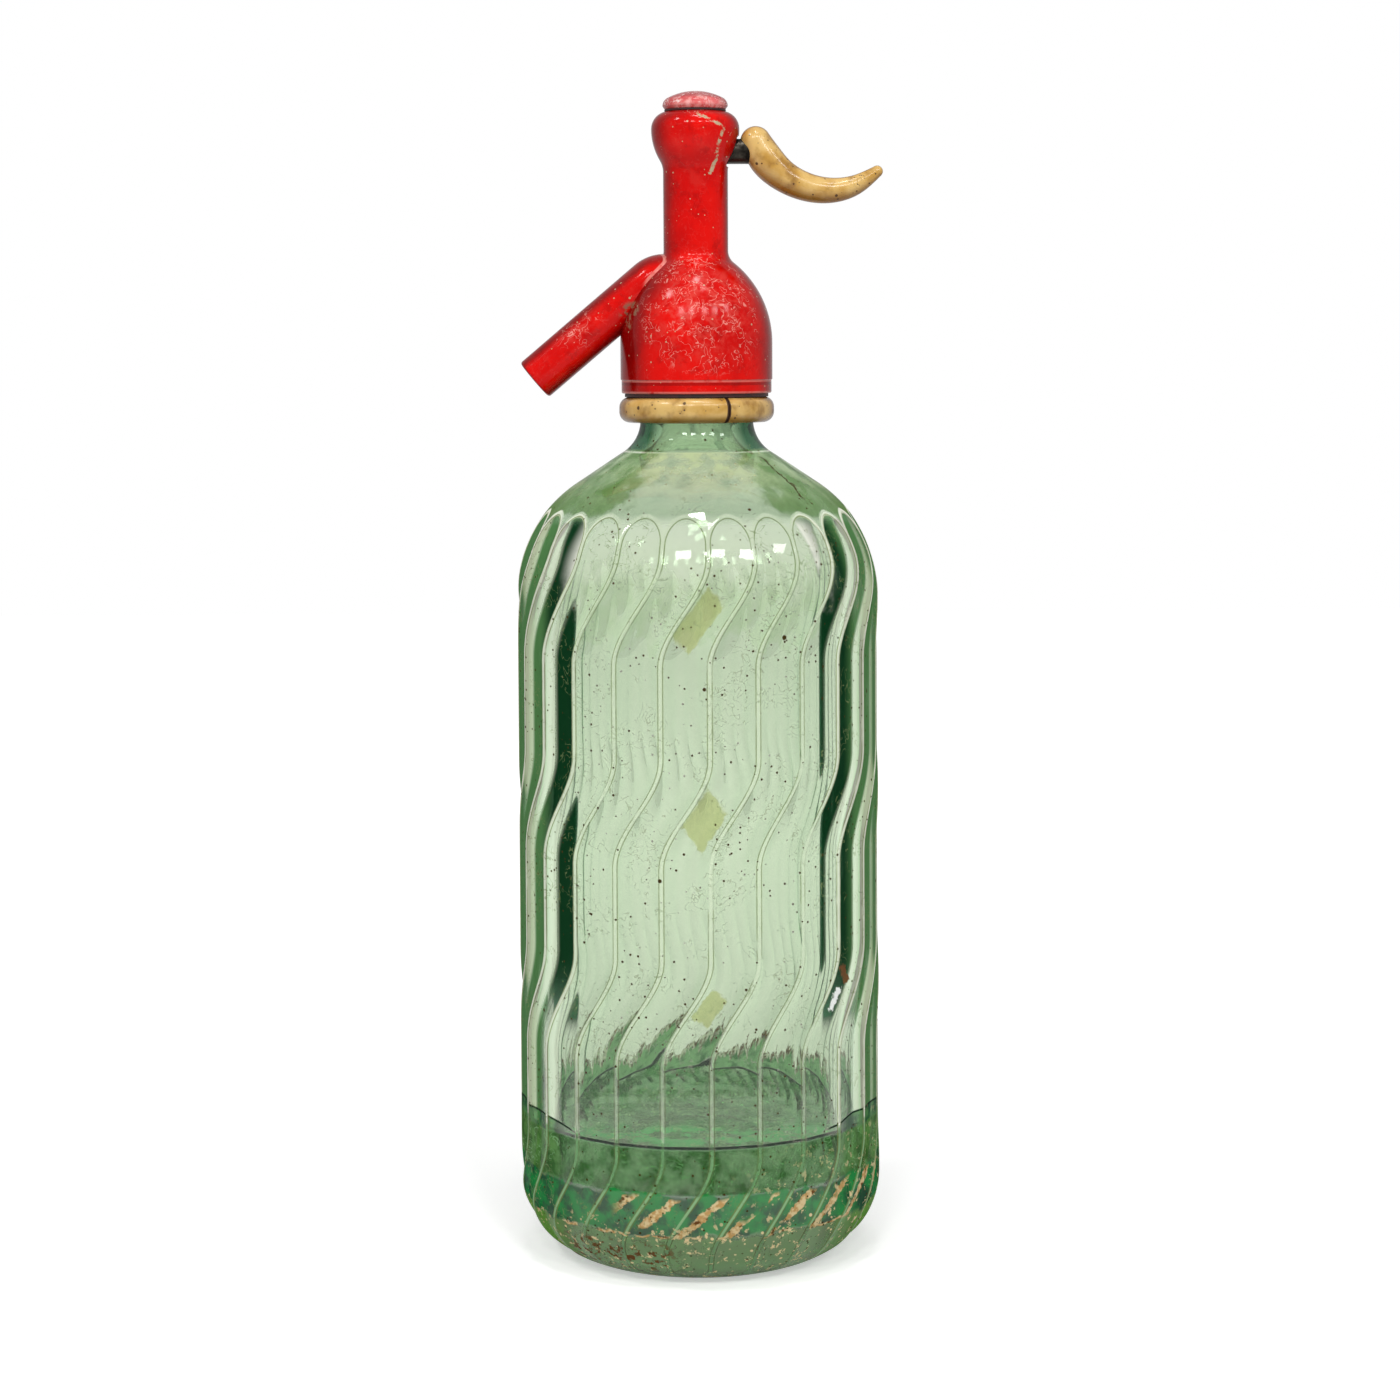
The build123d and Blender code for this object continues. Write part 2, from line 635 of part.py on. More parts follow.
def lever_grip():
    """Horn-shaped moulded grip over the tang, with round ends."""
    path = grip_path()
    sections = []
    for x, z, radius in GRIP_STATIONS:
        at = path.param_at_point((x, 0, z))
        sections.append(Plane(origin=(x, 0, z), x_dir=(0, 1, 0), z_dir=path % at) * Circle(radius))
    root = GRIP_STATIONS[0]
    tip = GRIP_STATIONS[-1]
    horn = loft(sections)
    horn += Pos(root[0], 0, root[1]) * Sphere(root[2])
    horn += Pos(tip[0], 0, tip[1]) * Sphere(tip[2])
    return horn - lever_arm()


def lever_pin():
    """Pin across the bulb that the lever turns on; the enamel covers its ends."""
    return crossbar(PIN_RADIUS, PIN_HALF_LENGTH, PIN_X, PIN_Z)


PARTS = {
    "bottle_glass": bottle_glass,
    "soda_water": soda_water,
    "siphon_tube": siphon_tube,
    "tube_sleeve": tube_sleeve,
    "neck_gasket": neck_gasket,
    "collar_washer": collar_washer,
    "collar_half_front": lambda: collar_half(SPLIT_ANGLE - 180),
    "collar_half_back": lambda: collar_half(SPLIT_ANGLE),
    "head_body": head_body,
    "spout_tube": spout_tube,
    "valve_seat": valve_seat,
    "gland_packing": gland_packing,
    "gland_nut": gland_nut,
    "top_cap": top_cap,
    "cap_washer": cap_washer,
    "valve_stem": valve_stem,
    "valve_washer": valve_washer,
    "washer_screw": washer_screw,
    "stem_collar": stem_collar,
    "valve_spring": valve_spring,
    "lever_arm": lever_arm,
    "lever_grip": lever_grip,
    "lever_pin": lever_pin,
}

os.makedirs("parts", exist_ok=True)
for name, make in PARTS.items():
    export_step(make(), f"parts/{name}.step")
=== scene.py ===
"""Dresses a soda siphon: a pressed green glass bottle, a red enamelled head and a cream horn grip."""

import logging
import math
from dataclasses import dataclass
from enum import Enum

import bpy
import numpy as np
from mathutils import Matrix, Vector

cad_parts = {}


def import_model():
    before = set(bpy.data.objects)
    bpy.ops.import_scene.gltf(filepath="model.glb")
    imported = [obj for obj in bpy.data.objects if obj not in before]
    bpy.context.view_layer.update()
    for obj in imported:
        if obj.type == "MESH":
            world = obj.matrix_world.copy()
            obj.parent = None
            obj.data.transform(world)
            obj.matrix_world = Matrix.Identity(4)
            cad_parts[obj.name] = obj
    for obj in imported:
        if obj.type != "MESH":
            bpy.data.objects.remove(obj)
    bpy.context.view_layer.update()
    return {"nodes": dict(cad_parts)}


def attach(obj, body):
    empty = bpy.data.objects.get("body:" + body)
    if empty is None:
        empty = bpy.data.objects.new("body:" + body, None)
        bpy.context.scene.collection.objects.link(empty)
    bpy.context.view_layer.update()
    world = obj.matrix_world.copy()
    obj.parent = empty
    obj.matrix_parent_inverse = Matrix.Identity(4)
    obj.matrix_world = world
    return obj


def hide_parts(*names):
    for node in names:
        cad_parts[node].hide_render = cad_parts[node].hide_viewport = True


MM = 0.001
log = logging.getLogger("siphon")

Point = tuple[float, float]
Piece = bpy.types.Object
Material = bpy.types.Material
Socket = bpy.types.NodeSocket
Input = Socket | float | tuple


# ---------------------------------------------------------------- colour and nodes


def linear(code: str) -> tuple[float, float, float, float]:
    """Turns an sRGB hex colour into the linear colour that a shader reads.

    Args:
        code: six hex digits after a hash sign.

    Returns:
        Red, green, blue and an alpha of one. A channel c becomes c / 12.92 where it is dark and
        ((c + 0.055) / 1.055) to the power 2.4 elsewhere.
    """
    channels = np.array([int(code[i : i + 2], 16) for i in (1, 3, 5)]) / 255
    straight = np.where(channels <= 0.04045, channels / 12.92, ((channels + 0.055) / 1.055) ** 2.4)
    return (*straight.tolist(), 1.0)


def add_node(tree: bpy.types.NodeTree, kind: str, inputs: dict | None = None, output: int = 0, **settings):
    """Adds a node with its settings and fills or links its inputs.

    Args:
        tree: node tree of a material or of the world.
        kind: Blender's name of the node type.
        inputs: value or output socket for each input, by its name or number.
        output: number of the output to return.
        **settings: properties of the node.

    Returns:
        The chosen output socket, or the node itself where it has none.
    """
    node = tree.nodes.new(kind)
    for name, value in settings.items():
        setattr(node, name, value)
    for key, value in (inputs or {}).items():
        if isinstance(value, Socket):
            tree.links.new(value, node.inputs[key])
        else:
            node.inputs[key].default_value = value
    return node.outputs[output] if len(node.outputs) else node


class Surface:
    """Node tree of one material, with patterns measured in millimetres on the piece."""

    def __init__(self, name: str) -> None:
        """Starts an empty material.

        Args:
            name: what the real material is.
        """
        self.material = bpy.data.materials.new(name)
        self.material.use_nodes = True
        self.tree = self.material.node_tree
        self.tree.nodes.clear()
        coordinates = self.node("ShaderNodeTexCoord", output=3)
        self.place = self.node("ShaderNodeVectorMath", {0: coordinates, 3: 1 / MM}, operation="SCALE")

    def node(self, kind: str, inputs: dict | None = None, output: int = 0, **settings):
        """Adds one node to this material, as add_node does."""
        return add_node(self.tree, kind, inputs, output, **settings)

    def times(self, *values: Input):
        """Product of two or more values."""
        whole = values[0]
        for value in values[1:]:
            whole = self.node("ShaderNodeMath", {0: whole, 1: value}, operation="MULTIPLY")
        return whole

    def either(self, *masks: Input):
        """Largest of one or more masks."""
        whole = masks[0]
        for mask in masks[1:]:
            whole = self.node("ShaderNodeMath", {0: whole, 1: mask}, operation="MAXIMUM")
        return whole

    def without(self, mask: Input):
        """One minus a mask."""
        return self.node("ShaderNodeMath", {0: 1.0, 1: mask}, operation="SUBTRACT")

    def ramp(self, value: Input, low: float, high: float):
        """Mask that rises smoothly from 0 at low to 1 at high, or falls where low is the larger."""
        limits = {0: value, 1: low, 2: high, 3: 0.0, 4: 1.0}
        return self.node("ShaderNodeMapRange", limits, interpolation_type="SMOOTHSTEP")

    def axis(self, number: int):
        """One coordinate of the place in millimetres: 0 is x, 1 is y and 2 is z."""
        return self.node("ShaderNodeSeparateXYZ", {0: self.place}, output=number)

    def field(self, name: str):
        """Value of an attribute of the mesh."""
        return self.node("ShaderNodeAttribute", attribute_name=name, output=2)

    def noise(
        self,
        size: float,
        detail: float = 3.0,
        rough: float = 0.5,
        bend: float = 0.0,
        turn: Point = (0.0, 0.0),
        stretch: tuple[float, float, float] = (1.0, 1.0, 1.0),
    ):
        """Soft noise between about 0.25 and 0.75.

        Args:
            size: width of one blotch in millimetres.
            detail: octaves of finer noise.
            rough: strength of each octave against the one before.
            bend: how far the noise is warped by itself.
            turn: shift along x and z in millimetres, so that two patterns differ.
            stretch: how many times longer a blotch is along each axis.

        Returns:
            The noise value.
        """
        place = self.node(
            "ShaderNodeMapping",
            {0: self.place, 1: (turn[0], 0.0, turn[1]), 3: tuple(1 / (size * s) for s in stretch)},
        )
        return self.node(
            "ShaderNodeTexNoise", {0: place, 2: 1.0, 3: detail, 4: rough, 8: bend}, noise_dimensions="3D"
        )

    def cloud(self, size: float, level: float, soft: float, **noise):
        """Mask of blotches where noise of a size is above a level, with an edge of a softness."""
        return self.ramp(self.noise(size, **noise), level - soft, level + soft)

    def squiggles(self, size: float, width: float, level: float, gate_size: float, turn: Point = (0.0, 0.0)):
        """Thin winding lines where noise passes its middle value, kept only in blotches.

        Args:
            size: spacing of the lines in millimetres.
            width: half width of a line in units of the noise.
            level: noise level above which the lines are kept.
            gate_size: size of the blotches that hold lines.
            turn: shift of the pattern.

        Returns:
            The mask.
        """
        wave = self.noise(size, detail=2.0, rough=0.6, bend=0.6, turn=turn)
        off = self.node("ShaderNodeMath", {0: wave, 1: 0.5}, operation="SUBTRACT")
        line = self.ramp(self.node("ShaderNodeMath", {0: off}, operation="ABSOLUTE"), width, width * 0.35)
        gate = self.cloud(gate_size, level, 0.03, detail=2.0, turn=(turn[1] + 31, turn[0] + 17))
        return self.times(line, gate)

    def specks(self, spacing: float, radius: float, share: float, soft: float = 0.25):
        """Small round specks.

        Args:
            spacing: distance between the cells in millimetres.
            radius: radius of the largest speck in millimetres; the smallest has 0.4 of it.
            share: share of the cells that hold a speck.
            soft: softness of the rim against the radius.

        Returns:
            The mask. Each cell of a Voronoi pattern holds one, smaller where its random value is larger.
        """
        inputs = {0: self.place, 2: 1 / spacing, 8: 1.0}
        node = self.node("ShaderNodeTexVoronoi", inputs, feature="F1").node
        chance = self.node("ShaderNodeSeparateColor", {0: node.outputs[1]})
        size = self.node("ShaderNodeMapRange", {0: chance, 1: 0.0, 2: share, 3: 1.0, 4: 0.4})
        held = self.node("ShaderNodeMath", {0: chance, 1: share}, operation="LESS_THAN")
        reach = self.times(size, held, radius / spacing)
        return self.ramp(self.less(reach, node.outputs[0]), 0.0, soft * radius / spacing)

    def slanted_bars(self, count: int, girth: float, slant: float, low: float, high: float, ragged: float):
        """Slanted bars round a bottle.

        Args:
            count: number of bars round the axis.
            girth: distance from one bar to the next in millimetres.
            slant: millimetres to the right for each millimetre up.
            low: share of the distance at which a bar starts.
            high: share of the distance at which it ends.
            ragged: how far its edges waver, as a share of the distance.

        Returns:
            The mask low < fract(angle * count / 2 pi - slant * z / girth) < high.
        """
        angle = self.node("ShaderNodeMath", {0: self.axis(1), 1: self.axis(0)}, operation="ARCTAN2")
        steps = self.times(angle, count / math.tau)
        rise = {0: self.axis(2), 1: -slant / girth, 2: steps}
        lean = self.node("ShaderNodeMath", rise, operation="MULTIPLY_ADD")
        waver = self.noise(3.5, detail=4.0, rough=0.7)
        lean = self.node("ShaderNodeMath", {0: waver, 1: ragged, 2: lean}, operation="MULTIPLY_ADD")
        return self.band(self.node("ShaderNodeMath", {0: lean}, operation="FRACT"), low, high, 0.02)

    def paint(self, base: Input | str, mask: Input, colour: Input | str):
        """Mixes a colour over another one by a mask.

        Args:
            base: colour below, as hex or a socket.
            mask: how much of the new colour covers it.
            colour: colour above.

        Returns:
            The mixed colour.
        """
        below = linear(base) if isinstance(base, str) else base
        above = linear(colour) if isinstance(colour, str) else colour
        return self.node("ShaderNodeMix", {0: mask, 6: below, 7: above}, output=2, data_type="RGBA")

    def bump(self, height: Input, strength: float, depth: float, below: Input | None = None):
        """Normal bent by a height, with the depth in millimetres."""
        inputs = {"Strength": strength, "Distance": depth * MM, "Height": height}
        return self.node("ShaderNodeBump", inputs if below is None else inputs | {"Normal": below})

    def less(self, first: Input, second: Input):
        """One value minus another."""
        return self.node("ShaderNodeMath", {0: first, 1: second}, operation="SUBTRACT")

    def band(self, value: Input, low: float, high: float, soft: float):
        """Mask between two values, with edges of a softness."""
        rise = self.ramp(value, low - soft, low + soft)
        return self.times(rise, self.ramp(value, high + soft, high - soft))

    def turned_away(self, normal: Input | None = None):
        """One minus the cosine between the eye's ray and the surface, or a given normal."""
        inputs = {0: 0.5} if normal is None else {0: 0.5, 1: normal}
        return self.node("ShaderNodeLayerWeight", inputs, output=1)

    def front(self):
        """One where the ray comes from outside the body, zero where it comes from within."""
        return self.without(self.node("ShaderNodeNewGeometry", output=6))

    def lozenge(self, middle: Point, right: Point, top: Point, soft: float):
        """Slanted four-sided patch on the side that faces -Y.

        Args:
            middle: x and z of its middle in millimetres.
            right: x and z from the middle to the right-hand corner.
            top: x and z from the middle to the upper corner.
            soft: softness of the border as a share of the size.

        Returns:
            The mask |s| + |t| < 1, where the place is middle + s * right + t * top.
        """
        area = right[0] * top[1] - right[1] * top[0]
        start = (middle[0], 0.0, middle[1])
        away = self.node("ShaderNodeVectorMath", {0: self.place, 1: start}, operation="SUBTRACT")
        reach = []
        for along in ((top[1] / area, 0.0, -top[0] / area), (-right[1] / area, 0.0, right[0] / area)):
            share = self.node("ShaderNodeVectorMath", {0: away, 1: along}, output=1, operation="DOT_PRODUCT")
            reach.append(self.node("ShaderNodeMath", {0: share}, operation="ABSOLUTE"))
        whole = self.node("ShaderNodeMath", {0: reach[0], 1: reach[1]}, operation="ADD")
        wear = self.noise(2.2, detail=5.0, rough=0.7)
        whole = self.node("ShaderNodeMath", {0: wear, 1: 0.7, 2: whole}, operation="MULTIPLY_ADD")
        return self.times(self.ramp(whole, 1.35, 1.35 - soft), self.ramp(self.axis(1), -8.0, -9.0))

    def stroke(self, first: Point, last: Point, width: float):
        """Ragged stroke on the side that faces -Y, between two places given by x and z.

        Args:
            first: x and z of one end in millimetres.
            last: x and z of the other end.
            width: half width in millimetres.

        Returns:
            The mask. The distance is | a - b * clamp(a.b / b.b) | with a from the first end and b the stroke.
        """
        way = np.array([last[0] - first[0], 0.0, last[1] - first[1]])
        flat = self.node("ShaderNodeVectorMath", {0: self.place, 1: (1.0, 0.0, 1.0)}, operation="MULTIPLY")
        off = self.node("ShaderNodeVectorMath", {0: flat, 1: (first[0], 0.0, first[1])}, operation="SUBTRACT")
        share = self.node(
            "ShaderNodeVectorMath", {0: off, 1: tuple(way / (way @ way))}, output=1, operation="DOT_PRODUCT"
        )
        share = self.node("ShaderNodeClamp", {0: share})
        near = self.node("ShaderNodeVectorMath", {0: tuple(way), 3: share}, operation="SCALE")
        gap = self.node("ShaderNodeVectorMath", {0: off, 1: near}, output=1, operation="DISTANCE")
        wear = self.noise(1.3, detail=4.0, rough=0.7)
        rough = self.node("ShaderNodeMath", {0: wear, 1: -2.4 * width, 2: gap}, operation="MULTIPLY_ADD")
        return self.times(self.ramp(rough, -0.55 * width, -0.85 * width), self.ramp(self.axis(1), -1.0, -2.0))

    def facing(self, x: Input, y: Input, z: Input):
        """One minus the cosine between the eye's ray and a direction given in the piece's own axes."""
        way = self.node("ShaderNodeCombineXYZ", {0: x, 1: y, 2: z})
        spaces = {"vector_type": "NORMAL", "convert_from": "OBJECT", "convert_to": "WORLD"}
        way = self.node("ShaderNodeVectorTransform", {0: way}, **spaces)
        return self.turned_away(self.node("ShaderNodeVectorMath", {0: way}, operation="NORMALIZE"))

    def levelled(self, away: Input):
        """Turned-away value as it is for an eye at the height of the place.

        Args:
            away: one minus a cosine c to the eye's ray.

        Returns:
            1 - c / sqrt(1 - u^2), where u is the cosine between the ray and the upright.
        """
        rise = self.without(self.facing(0.0, 0.0, 1.0))
        flat = self.node("ShaderNodeMath", {0: self.without(self.times(rise, rise))}, operation="SQRT")
        parts = {0: self.without(away), 1: self.either(flat, 0.1)}
        return self.without(self.node("ShaderNodeMath", parts, operation="DIVIDE"))

    def close(self, volume: Socket | None = None, **sockets: Input) -> Material:
        """Ends the material with a Principled shader.

        Args:
            volume: shader of the inside.
            **sockets: values of the shader's inputs, with underscores for spaces.

        Returns:
            The finished material.
        """
        named = {name.replace("_", " "): value for name, value in sockets.items()}
        shader = self.node("ShaderNodeBsdfPrincipled", named)
        return self.end(shader, volume)

    def end(self, shader: Socket, volume: Socket | None = None) -> Material:
        """Links a shader, and one for the inside, to the material's output."""
        inputs = {0: shader} if volume is None else {0: shader, 1: volume}
        self.node("ShaderNodeOutputMaterial", inputs)
        return self.material


# ---------------------------------------------------------------- outlines and meshes


def arc(center: Point, radius: float, first: float, last: float, steps: int) -> np.ndarray:
    """Points on an arc: center + radius * (cos a, sin a) for a from first to last degrees."""
    turn = np.radians(np.linspace(first, last, steps + 1))
    return np.stack([center[0] + radius * np.cos(turn), center[1] + radius * np.sin(turn)], axis=1)


def run(first: Point, last: Point, steps: int) -> np.ndarray:
    """Evenly spaced points on the straight line between two points."""
    share = np.linspace(0, 1, steps + 1)[:, None]
    return (1 - share) * np.array(first) + share * np.array(last)


def joined(*runs: np.ndarray) -> np.ndarray:
    """Runs of an outline one after the other, each meeting point kept once."""
    points = np.concatenate(runs)
    step = np.linalg.norm(np.diff(points, axis=0), axis=1)
    return points[np.concatenate([[True], step > 1e-6])]


def smooth_step(share: np.ndarray) -> np.ndarray:
    """Rise from 0 to 1 that is level at both ends: 3 s^2 - 2 s^3."""
    share = np.clip(share, 0, 1)
    return share * share * (3 - 2 * share)


def common_tangent(convex: Point, convex_radius: float, hollow: Point, hollow_radius: float) -> float:
    """Angle at which one straight line touches a convex arc and the hollow arc above it."""
    across, up = hollow[0] - convex[0], hollow[1] - convex[1]
    spread = math.acos((convex_radius + hollow_radius) / math.hypot(across, up))
    return math.degrees(math.atan2(up, across) - spread)


def crown_arc(rim: Point, rim_radius: float, crown: float, steps: int) -> tuple[np.ndarray, float]:
    """Arc from the axis at the crown's height to where it touches the rim's circle, and the angle there."""
    drop = rim[1] - crown
    radius = (rim[0] ** 2 + drop**2 - rim_radius**2) / (2 * (rim_radius - drop))
    angle = math.degrees(math.atan2(drop + radius, rim[0]))
    return arc((0, crown - radius), radius, 90, angle, steps), angle


def blend_above(center: Point, radius: float, fillet: float, wall: float) -> tuple[Point, float]:
    """Middle of the hollow arc from a convex arc to an upright wall above, and the angle where they meet."""
    reach = wall + fillet - center[0]
    height = math.sqrt((radius + fillet) ** 2 - reach**2)
    return (wall + fillet, center[1] + height), math.degrees(math.atan2(height, reach))


def turned(radius: np.ndarray, turn: np.ndarray, height: np.ndarray) -> np.ndarray:
    """Points (radius * cos a, radius * sin a, height), with the three arrays stretched to one shape."""
    return np.stack(np.broadcast_arrays(radius * np.cos(turn), radius * np.sin(turn), height), axis=-1)


class Draft:
    """Points and faces in millimetres, gathered as whole arrays before they become one mesh."""

    def __init__(self) -> None:
        """Starts with no points and no faces."""
        self.points: list[np.ndarray] = []
        self.faces: list[np.ndarray] = []
        self.fields: dict[str, list[np.ndarray]] = {}
        self.count = 0

    def add(self, points: np.ndarray, **fields: np.ndarray) -> np.ndarray:
        """Adds points.

        Args:
            points: array whose last axis is x, y, z.
            **fields: attribute values, one for each point.

        Returns:
            Their numbers, in the same arrangement.
        """
        size = points[..., 0].size
        numbers = np.arange(self.count, self.count + size).reshape(points.shape[:-1])
        self.points.append(points.reshape(-1, 3))
        for name in set(self.fields) | set(fields):
            held = self.fields.setdefault(name, [np.zeros(self.count)])
            held.append(np.asarray(fields.get(name, np.zeros(size)), float).reshape(-1))
        self.count += size
        return numbers

    def skin(self, rows: np.ndarray, closed: bool = True) -> None:
        """Four-sided faces between neighbours of a grid: right-hand way along a row, then to the next.

        Args:
            rows: numbers of the points, row by row.
            closed: whether each row runs round to its start.
        """
        if closed:
            rows = np.concatenate([rows, rows[:, :1]], axis=1)
        corners = [rows[:-1, :-1], rows[:-1, 1:], rows[1:, 1:], rows[1:, :-1]]
        self.faces.append(np.stack(corners, axis=-1).reshape(-1, 4))

    def fan(self, ring: np.ndarray, middle: int) -> None:
        """Three-sided faces from a ring to its middle point."""
        self.faces.append(np.stack([ring, np.roll(ring, -1), np.full(ring.size, middle)], axis=-1))

    def lid(self, ring: np.ndarray) -> None:
        """One many-sided face over a ring of points."""
        self.faces.append(ring.reshape(1, -1))

    def lathe(self, outline: np.ndarray, columns: int) -> None:
        """Turns an outline about the Z axis: (r cos a, r sin a, z). Ends on the axis are closed with a fan.

        Args:
            outline: radius and height of each row.
            columns: steps round the axis.
        """
        turn = np.radians(360 * np.arange(columns) / columns)
        low, high = outline[0, 0] < 1e-6, outline[-1, 0] < 1e-6
        rings = outline[int(low) : len(outline) - int(high)]
        rows = self.add(turned(rings[:, :1], turn, rings[:, 1:]))
        self.skin(rows)
        if low:
            pole = self.add(np.array([[0, 0, outline[0, 1]]]))
            self.fan(rows[0, ::-1], int(pole[0]))
        if high:
            pole = self.add(np.array([[0, 0, outline[-1, 1]]]))
            self.fan(rows[-1], int(pole[0]))

    def build(self, name: str, material: Material, sharp: float = 180.0) -> Piece:
        """Puts the arrays into a mesh object at the origin.

        Args:
            name: name of the piece.
            material: its finish.
            sharp: angle in degrees above which an edge stays sharp.

        Returns:
            The object, linked to the scene.
        """
        mesh = bpy.data.meshes.new(name)
        points = np.concatenate(self.points) * MM
        mesh.vertices.add(len(points))
        mesh.vertices.foreach_set("co", points.astype(np.float32).ravel())
        sizes = np.concatenate([np.full(len(faces), faces.shape[1]) for faces in self.faces])
        corners = np.concatenate([faces.ravel() for faces in self.faces])
        mesh.loops.add(len(corners))
        mesh.loops.foreach_set("vertex_index", corners.astype(np.int32))
        mesh.polygons.add(len(sizes))
        mesh.polygons.foreach_set("loop_start", (np.cumsum(sizes) - sizes).astype(np.int32))
        mesh.update(calc_edges=True)
        mesh.validate()
        mesh.shade_smooth()
        if sharp < 180:
            mesh.set_sharp_from_angle(angle=math.radians(sharp))
        for field, values in self.fields.items():
            attribute = mesh.attributes.new(field, "FLOAT", "POINT")
            attribute.data.foreach_set("value", np.concatenate(values).astype(np.float32))
        mesh.materials.append(material)
        piece = bpy.data.objects.new(name, mesh)
        bpy.context.scene.collection.objects.link(piece)
        log.info("%s: %d points, %d faces", name, len(points), len(sizes))
        return piece


class Body(Enum):
    """Rigid bodies of the siphon that a piece can ride on."""

    ROOT = "root"
    LEVER = "lever"
    VALVE = "valve"


def mount(piece: Piece, body: Body, slot: str, *nodes: str) -> None:
    """Lets a piece ride on a body and stand for CAD nodes, which it hides."""
    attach(piece, body.value)
    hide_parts(*nodes)


# ---------------------------------------------------------------- finishes


class Coat:
    """Colours laid one over another on glass, and how far they hide what lies behind it."""

    def __init__(self, surface: Surface, base: str) -> None:
        """Starts with clear glass.

        Args:
            surface: material that the colours belong to.
            base: colour of the clear glass.
        """
        self.surface = surface
        self.colour: Input | str = base
        self.solid: Input = 0.0

    def lay(self, mask: Input, colour: Input | str, solid: float = 0.0, cover: float = 1.0) -> None:
        """Lays a colour over those below it.

        Args:
            mask: where the colour lies.
            colour: the colour, as hex or a socket.
            solid: how far it hides what lies behind the glass.
            cover: how far it covers the colours below it.
        """
        self.colour = self.surface.paint(self.colour, self.surface.times(mask, cover), colour)
        if solid:
            self.hide(mask, solid)

    def hide(self, mask: Input, solid: float) -> None:
        """Hides what lies behind the glass at a share, where the mask is and nothing hides it more."""
        self.solid = self.surface.either(self.solid, self.surface.times(mask, solid))


class GlassWall:
    """What the layers of the bottle's material share."""

    def __init__(self, tint: str, dome: float) -> None:
        """Starts the material and works out its masks.

        Args:
            tint: colour of the clear glass.
            dome: height of the middle of the shoulder's arc in millimetres.
        """
        surface = self.surface = Surface("pressed_green_glass")
        self.coat = Coat(surface, tint)
        # Sides of the wall: the inside, and the outside where the eye's ray comes in.
        self.inside = surface.field("inside")
        self.shown = surface.times(surface.without(self.inside), surface.front())
        # Places: width, depth and height in millimetres, and the distance into a flute from its border.
        self.across, self.back, self.height = (surface.axis(number) for number in range(3))
        self.edge = surface.field("edge")
        # Turns to the eye: of the body without its flutes, of its barrel alone, and of the fluted surface.
        above = surface.either(surface.less(self.height, dome), 0.0)
        self.aside = surface.levelled(surface.facing(self.across, self.back, above))
        self.flank = surface.levelled(surface.facing(self.across, self.back, 0.0))
        self.own = surface.levelled(surface.turned_away())
        self.tilt = surface.less(self.own, self.aside)
        # Unevenness that several layers follow.
        self.mottle = surface.noise(7.0, detail=5.0, rough=0.6)
        self.streak = surface.noise(4.0, detail=3.0, stretch=(1.0, 1.0, 6.0))
        self.stain_height = self.wavering(surface.noise(6.0, detail=3.0), 5.0)

    def wavering(self, noise: Input, reach: float):
        """Height in millimetres with noise * reach added to it."""
        moved = {0: noise, 1: reach, 2: self.height}
        return self.surface.node("ShaderNodeMath", moved, operation="MULTIPLY_ADD")


